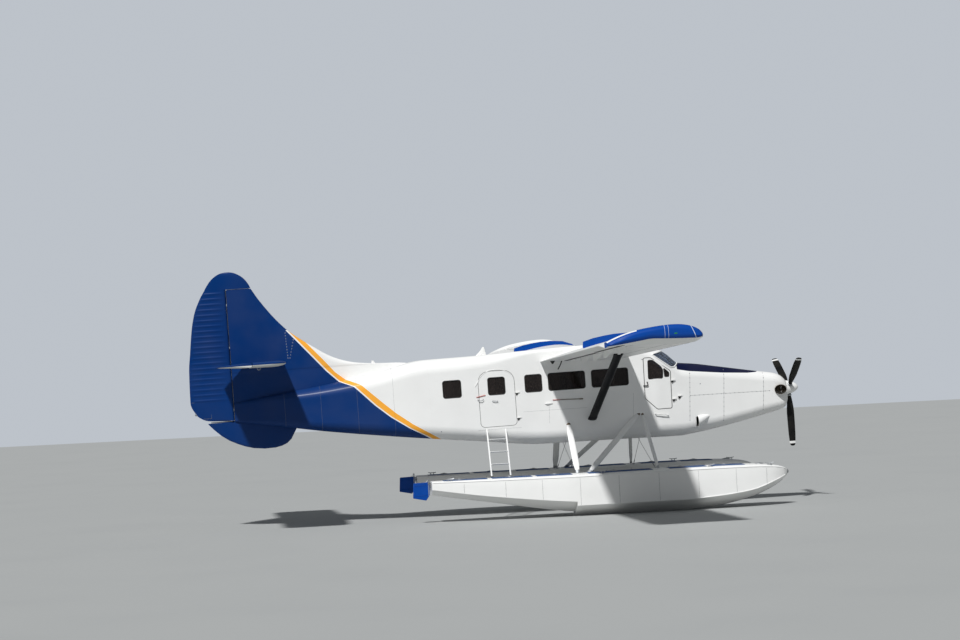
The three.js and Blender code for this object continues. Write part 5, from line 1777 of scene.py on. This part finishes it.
def deck_height(x, share):
    half, deck = float_row(x)[:2]
    return deck + half / 455 * np.interp(abs(share), [0, 0.4, 0.8, 1.0], [22, 19, 9, 0])


def deck_panel(start, end, y):
    shares = np.linspace(-0.76, 0.76, 9)
    return loft([[(x, y + float_row(x)[0] * t, deck_height(x, t) + proud)
                  for row, proud in ((shares, 4), (shares[::-1], -4)) for t in row]
                 for x in np.linspace(start, end, 9)])


def cleat(x, y, z):
    horn = tube([(x - 88, y, z + 50), (x - 55, y, z + 41), (x + 55, y, z + 41), (x + 88, y, z + 50)], 10)
    posts = [tube([(x + dx, y, z - 3), (x + dx, y, z + 42)], 9) for dx in (-32, 32)]
    return joined([horn, block((x - 60, y - 17, z - 4), (x + 60, y + 17, z + 6), 3)] + posts)


def build_deck(side, y, way):
    covers, cleats = [], []
    for x in HATCHES:
        z = deck_height(x, 0)
        covers += [disc((x, y, z + 5), UP, 98, 12, 36, 3), disc((x, y, z + 12), UP, 72, 8, 30, 2),
                   block((x - 34, y - 7, z + 14), (x + 34, y + 7, z + 26), 3)]
    for x in CLEATS:
        cleats.append(cleat(x, y + way * float_row(x)[0] * 0.86, deck_height(x, 0.86) + 2))
    pieces([("deck grip ", [deck_panel(start, end, y) for start, end in DECK_PANELS], deck_grip),
            ("float covers ", covers, alloy), ("float cleats ", cleats, alloy)], side, place=STAND)


def build_float_sides(side, y):
    strips, rivets, seams = [], [], []
    for hand in (-1, 1):
        edge, chine = [], []
        for x in np.linspace(STERN_X + 20, 3220, 46):
            half, deck, beam, low = float_row(x)[:4]
            edge.append((x, y + hand * (half + 1), deck - 40 * half / 455))
            if x > 700:
                chine.append((x, y + hand * (beam + 4), low + 2))
        strips += [tube(edge, 9), tube(chine, 11)]
        for x in BULKHEADS:
            half, deck, beam, low = float_row(x)[:4]
            seam = [Vector((x, y + hand * out, z)) for out, z in
                    ((half, deck - 62), ((half + beam) / 2, (deck + low) / 2), (beam, low + 14))]
            for a, b in zip(seam, seam[1:]):
                for dx in (-16, 16):
                    rivets += [(p + Vector((dx, 0, 0)), Vector((0, hand, 0))) for p in between(a, b, 46)]
            seams.append(tube(seam, 2.5))
    keel = [(x, y, max(float_row(x)[4] - 1, 9)) for x in np.linspace(STEP_X + 5, 3200, 30)]
    steels = [tube(keel, 8), block((STERN_X - 40, y - 40, 780), (STERN_X + 6, y + 40, 850), 6),
              block((STERN_X - 74, y - 24, 860), (STERN_X + 6, y + 24, 884), 5)]
    pieces([("float strips ", strips, white_paint), ("float rivets ", [studs(rivets, 6, 2)], white_paint),
            ("float seams ", seams, seam_grey), ("keel strip ", steels, steel),
            ("bow bumper ", [ball((3300, y, 728), (42, 78, 56), 24, 14)], seam_grey)], side, place=STAND)


def build_water_rudder(side, y):
    body, ring = "water_rudder_" + side, ring_of(WATER_RUDDER, 26)
    x0, z0 = (sum(p[axis] for p in ring) / len(ring) for axis in (0, 2))
    blade = loft([[(x0 + (p.x - x0) * share, y + off, z0 + (p.z - z0) * share) for p in ring]
                  for share, off in ((0.975, -12), (1.0, -8), (1.0, 8), (0.975, 12))])
    piece(body + " blade", blade, tip_blue, [body], body=body, place=STAND)
    ribs = [tube([(-4750, y + off, z), (-5010, y + off, z - 14)], 6) for off in (-13, 13) for z in (840, 620)]
    post = [tube([(RUDDER_POST_X, y, 600), (RUDDER_POST_X, y, 968)], 15),
            tube([(RUDDER_POST_X, y - 120, 955), (RUDDER_POST_X, y + 120, 955)], 10)]
    line = tube([(RUDDER_POST_X, y + 18, 950), (-4860, y + 22, 800), (-5020, y + 16, 590)], 6)
    pieces([(" ribs", ribs, tip_blue), (" post", post, alloy), (" lifting line", [line], white_paint)],
           place=STAND, body=body, prefix=body)


for side, way in (("left", 1), ("right", -1)):
    build_deck(side, way * FLOAT_Y, way)
    build_float_sides(side, way * FLOAT_Y)
    build_water_rudder(side, way * FLOAT_Y)

# %% [markdown]
# Every strut ends in a metal cuff. Thin crossed wires stiffen the floats sideways, each with a turnbuckle.

# %% Cuffs and bracing wires
WIRES = (((240, 640, -1560), (414, 1330, 930)), ((-1447, 640, -1600), (-1385, 1330, 926)))


def build_cuffs():
    feet, tops, wires, barrels, ends = [], [], [], [], []
    for way in (-1, 1):
        for _, top, foot, chord, thick in FLOAT_STRUTS:
            start, end = leg_ends(top, foot, way)
            axis = (end - start).normalized()
            feet += [strut(end - axis * 90, end - axis * 6, chord * 0.6 + 12, thick * 0.6 + 14),
                     block(end + Vector((-chord * 0.8, -60, -12)), end + Vector((chord * 0.8, 60, 14)), 5)]
            tops.append(strut(start + axis * 20, start + axis * 74, chord * 0.56 + 10, thick * 0.6 + 10))
        for top, foot in WIRES:
            start, end = leg_ends(top, foot, way, across=-1)
            axis = (end - start).normalized()
            wires.append(tube([start, end], 5))
            barrels += [tube([end - axis * 260, end - axis * 110], 11), disc(end, UP, 26, 26, 16, 3)]
        low, high = (Vector((x, way * y, z)) for x, y, z in WING_STRUT)
        axis = (high - low).normalized()
        ends += [strut(low + axis * 26, low + axis * 150, 206, 84),
                 strut(high - axis * 150, high - axis * 30, 206, 84)]
    # The top cuffs take the dark stained steel as painted shade under the belly.
    pieces([("strut foot cuffs", feet, alloy), ("strut top cuffs", tops, stain_and_shade_steel),
            ("bracing wires", wires, steel), ("turnbuckles", barrels, steel)], place=STAND)
    piece("wing strut cuffs", joined(ends), navy_paint)


build_cuffs()

# %% [markdown]
# The boarding ladder is welded from round tube, with flat treads, and hooks under the door sill.

# %% Boarding ladder
LADDER_FRONT, LADDER_REAR, LADDER_TOP_Y, LADDER_FOOT_Y, RUNG_PITCH = -2835, -3255, -838, -1330, 270


def build_ladder():
    top, foot = stand_point(-3000, LADDER_TOP_Y, -1330).z, DECK_Z + 12

    def spot(x, z):
        lean = (z - foot) / (top - foot) * (LADDER_TOP_Y - LADDER_FOOT_Y)
        return Vector((x, LADDER_FOOT_Y + lean, z))

    rails = [tube([spot(x, foot + 6), spot(x, top - 60), spot(x, top - 16) + Vector((0, 12, 0))], 19, sides=12)
             for x in (LADDER_REAR, LADDER_FRONT)]
    heights = [foot + step * RUNG_PITCH for step in range(1, 4)]
    rails += [tube([spot(LADDER_REAR, z), spot(LADDER_FRONT, z)], 14) for z in heights]
    for z in heights:
        y = spot(0, z).y
        rails.append(block((LADDER_REAR + 16, y - 30, z + 6), (LADDER_FRONT - 16, y + 30, z + 16), 3))
    piece("ladder frame", joined(rails), white_paint, ["boarding_ladder"], place=STAND)
    feet = [disc((x, LADDER_FOOT_Y, foot + 10), UP, 27, 26, 20, 4) for x in (LADDER_REAR, LADDER_FRONT)]
    piece("ladder feet", joined(feet), black_rubber, place=STAND)


build_ladder()

# %% [markdown]
# A seat is a pair of crowned cushions on a tube frame. A cushion is a finely divided box, rounded by a power
# of its coordinates; its faces are crowned, its sides pull in between the corners, and seams are pressed in.

# %% Seats
CABIN_FLOOR_Z, SEAT_WIDTH, SEAT_DEPTH, SEAT_TOP, BACK_LEAN = -1300, 420, 430, -880, math.radians(-11)
SEAT_ROWS, SEAT_Y, PILOT_SEAT_X, PILOT_SEAT_Y = (-3560, -2780, -2000, -1220, -440), 440, 340, 380


def weave(name, color):
    material, tree, shader = new_material(name)
    threads = node(tree, "TexBrick", {"Vector": place_of(tree), "Scale": 160.0, "Color1": rgb(color),
                                      "Color2": shaded(color, 0.6), "Mortar": shaded(color, 0.3),
                                      "Mortar Size": 0.03})
    uneven = blend_colors(tree, cloud(tree, 6.0), threads.outputs[0], rgb(color))
    tree.links.new(uneven, shader.inputs["Base Color"])
    shader.inputs["Roughness"].default_value = 0.95
    shader.inputs["Sheen Weight"].default_value = 0.4
    bump = node(tree, "Bump", {"Height": threads.outputs[1], "Strength": 0.25, "Distance": 0.001})
    tree.links.new(bump.outputs[0], shader.inputs["Normal"])
    return material


seat_fabric = weave("seat fabric", "2b3548")


def pillow(low, high, thin, seams=(), crown=0.2, pinch=0.05):
    """A stuffed pad in a box. The axis called thin is its thickness, and seams cross it."""
    low, high = Vector(low), Vector(high)
    flat = [axis for axis in range(3) if axis != thin]
    bm = bmesh.new()
    bmesh.ops.create_cube(bm, size=2)
    bmesh.ops.subdivide_edges(bm, edges=bm.edges[:], cuts=17, use_grid_fill=True)
    for vert in bm.verts:
        co = vert.co / sum(abs(c) ** 7 for c in vert.co) ** (1 / 7)
        u, v, w = co[flat[0]], co[flat[1]], co[thin]
        dip = sum(math.exp(-((v - seam) / 0.05) ** 2) for seam in seams)
        w *= 1 - crown * (1 - (1 - u * u) * (1 - v * v)) - 0.12 * dip
        co[flat[0]], co[flat[1]], co[thin] = u * (1 - pinch * (1 - v * v)), v * (1 - pinch * (1 - u * u)), w
        vert.co = Vector([(low[i] + high[i]) / 2 + co[i] * (high[i] - low[i]) / 2 for i in range(3)])
    bmesh.ops.recalc_face_normals(bm, faces=bm.faces)
    return bm


def seat_parts(x, y):
    """Pads and frame of one seat whose back stands at x."""
    half, rail_z, foot_z = SEAT_WIDTH / 2, SEAT_TOP - 112, CABIN_FLOOR_Z + 26
    pads = [pillow((x + 70, y - half + 4, SEAT_TOP - 92), (x + SEAT_DEPTH, y + half - 4, SEAT_TOP + 6), 2,
                   (-0.34, 0.34))]
    lean = Matrix.Translation((x, y, SEAT_TOP - 90)) @ Matrix.Rotation(BACK_LEAN, 4, "Y")
    for low, high, seams in (((4, 6 - half, 40), (84, half - 6, 500), (-0.45, 0.0, 0.45)),
                             ((2, -120, 505), (70, 120, 642), ())):
        pads.append(pillow(low, high, 0, seams))
        bmesh.ops.transform(pads[-1], matrix=lean, verts=pads[-1].verts)
    bars = []
    for hand in (-1, 1):
        side = y + hand * (half - 48)
        bars += [tube([(x + 40, side, foot_z), (x + 52, side, rail_z),
                       (x + 396, side, rail_z), (x + 384, side, foot_z)], 13),
                 tube([(x + 30, side, foot_z + 4), (x + 394, side, foot_z + 4)], 13),
                 tube([lean @ Vector((-6, hand * (half - 60), z)) for z in (-20, 300, 590)], 12)]
    bars += [tube([(x + dx, y - half + 48, rail_z), (x + dx, y + half - 48, rail_z)], 12) for dx in (70, 370)]
    bars.append(tube([lean @ Vector((-6, hand * (half - 60), 520)) for hand in (-1, 1)], 12))
    return pads, bars


def build_seats(name, places, way):
    pads, bars = [], []
    for x, y in places:
        seat = seat_parts(x, y)
        pads += seat[0]
        bars += seat[1]
        inner, outer = sorted((y + way * 142, y + way * 178))
        bars.append(block((x - 10, inner, CABIN_FLOOR_Z + 2), (x + 440, outer, CABIN_FLOOR_Z + 20), 4))
    cushions = piece(name.replace("seat", "cushion"), joined(pads), seat_fabric, [name], slot="seat_fabric")
    piece(name + " frames", joined(bars), alloy)


for side, way in (("left", 1), ("right", -1)):
    build_seats("cabin_seats_" + side, [(x, way * SEAT_Y) for x in SEAT_ROWS], way)
    build_seats("pilot_seat_" + side, [(PILOT_SEAT_X, way * PILOT_SEAT_Y)], way)

# %% [markdown]
# The instrument panel carries round dials before each pilot and a radio stack in the middle, under a dark hood.

# %% Instrument panel
PANEL_TOP, PANEL_FOOT = Vector((1010, 0, -330)), Vector((1060, 0, -760))
PANEL_OUT = Vector((-0.993, 0, -0.115))


def on_panel(share, y, out=0.0):
    return PANEL_TOP.lerp(PANEL_FOOT, share) + Vector((0, y, 0)) + PANEL_OUT * out


def build_board():
    slab = [(1010, -330), (1158, -250), (1158, -760), (1060, -760)]
    hood = [(975, -338), (990, -318), (1174, -228), (1180, -246), (1010, -336)]
    parts = [loft([[(x, y, z) for x, z in plan] for y in places])
             for plan, places in ((slab, (-560, 560)), (hood, np.linspace(-575, 575, 7)))]
    piece("panel board", joined([rounded(bm, 4) for bm in parts]), panel_black, ["instrument_panel"])


def build_instruments():
    bezels, faces, needles = [], [], []
    for way in (-1, 1):
        for row, share in enumerate((0.2, 0.46)):
            for column in (-1, 0, 1):
                y = way * 310 + column * 98
                bezels.append(disc(on_panel(share, y, 3), PANEL_OUT, 44, 14, 28, 3))
                faces.append(disc(on_panel(share, y, 10), PANEL_OUT, 35, 3, 28))
                turn = (row * 3 + column + way) * 1.1
                middle = on_panel(share, y, 13)
                needles.append(tube([middle, middle + Vector((0, math.cos(turn), math.sin(turn))) * 27], 2))
    for row in range(4):
        share = 0.12 + row * 0.13
        middle = on_panel(share, 0, 4)
        bezels.append(block(middle - Vector((8, 86, 22)), middle + Vector((4, 86, 22)), 3))
        faces.append(block(middle - Vector((12, 48, 14)), middle - Vector((6, -48, -14)), 1))
        bezels += [disc(on_panel(share, side * 68, 16), PANEL_OUT, 9, 18, 16, 2) for side in (-1, 1)]
    pieces([("panel bezels", bezels, black_rubber), ("panel faces", faces, seam_grey),
            ("panel needles", needles, white_paint)])


def build_yokes():
    x, z = 888, -586
    yokes = [tube([(1075, 0, -700), (960, 0, -620), (x, 0, z)], 20), tube([(x, -300, z), (x, 300, z)], 15)]
    for y in (-300, 300):
        wheel = [(-104, -478), (-110, -560), (-84, -590), (84, -590), (110, -560), (104, -478)]
        yokes.append(tube([(x, y + off, height) for off, height in wheel], 13))
        yokes.append(block((872, y - 34, -616), (900, y + 34, -560), 8))
    piece("control yokes", joined(yokes), black_rubber)


build_board()
build_instruments()
build_yokes()

# %% [markdown]
# A metal collar clamps each blade root, and small screws hold the spinner.

# %% Hub collars
def build_collars():
    collars = [at_hub(disc((0, 0, -176), (0, 0, 1), 52, 34, 28, 4), number) for number in range(3)]
    screws = []
    for angle in turns(12):
        out = Vector((0, math.cos(angle + math.pi / 12), math.sin(angle + math.pi / 12)))
        screws.append((Vector((NOSE_FRONT + 26, 0, PROP_Z)) + out * 163, out))
    piece("blade collars", joined(collars), alloy, body="propeller")
    piece("spinner screws", studs(screws, 6, 3, 8), steel, body="propeller")


build_collars()

# %% [markdown]
# What the solids already show well keeps their shape and only takes a finish.

# %% Finishes on the solids that are kept
KEPT = {"cabin_floor": carpet, "engine": engine_metal}
for name, material in KEPT.items():
    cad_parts[name].data.materials.clear()
    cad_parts[name].data.materials.append(material)
print("kept", sorted(KEPT))

# %% [markdown]
# The set is a plain pale floor under a soft sky and one large soft sun, high behind the starboard quarter.

# %% Stage and light
def build_stage():
    bm = bmesh.new()
    bmesh.ops.create_grid(bm, x_segments=1, y_segments=1, size=90)
    mesh = bpy.data.meshes.new("floor")
    bm.to_mesh(mesh)
    bm.free()
    floor = bpy.data.objects.new("floor", mesh)
    bpy.context.scene.collection.objects.link(floor)
    mesh.materials.append(finish("pale floor", "a9abaa", 0.85, dark=0.02, scale=0.3))


def build_light():
    data = bpy.data.lights.new("sun", "SUN")
    data.energy = 3.5
    data.angle = math.radians(3)
    sun = bpy.data.objects.new("sun", data)
    sun.rotation_euler = Vector((0.29, 0.57, -0.77)).to_track_quat("-Z", "Y").to_euler()
    bpy.context.scene.collection.objects.link(sun)
    world = bpy.data.worlds.new("studio")
    bpy.context.scene.world = world
    world.use_nodes = True
    background = world.node_tree.nodes["Background"]
    background.inputs[0].default_value = (0.86, 0.92, 1.0, 1)
    seen = node(world.node_tree, "LightPath").outputs["Is Camera Ray"]
    world.node_tree.links.new(calc(world.node_tree, "ADD", calc(world.node_tree, "MULTIPLY", seen, 0.4), 0.19),
                              background.inputs[1])
    bpy.context.scene.view_settings.view_transform = "Standard"


build_stage()
build_light()
print("stage and light ready")
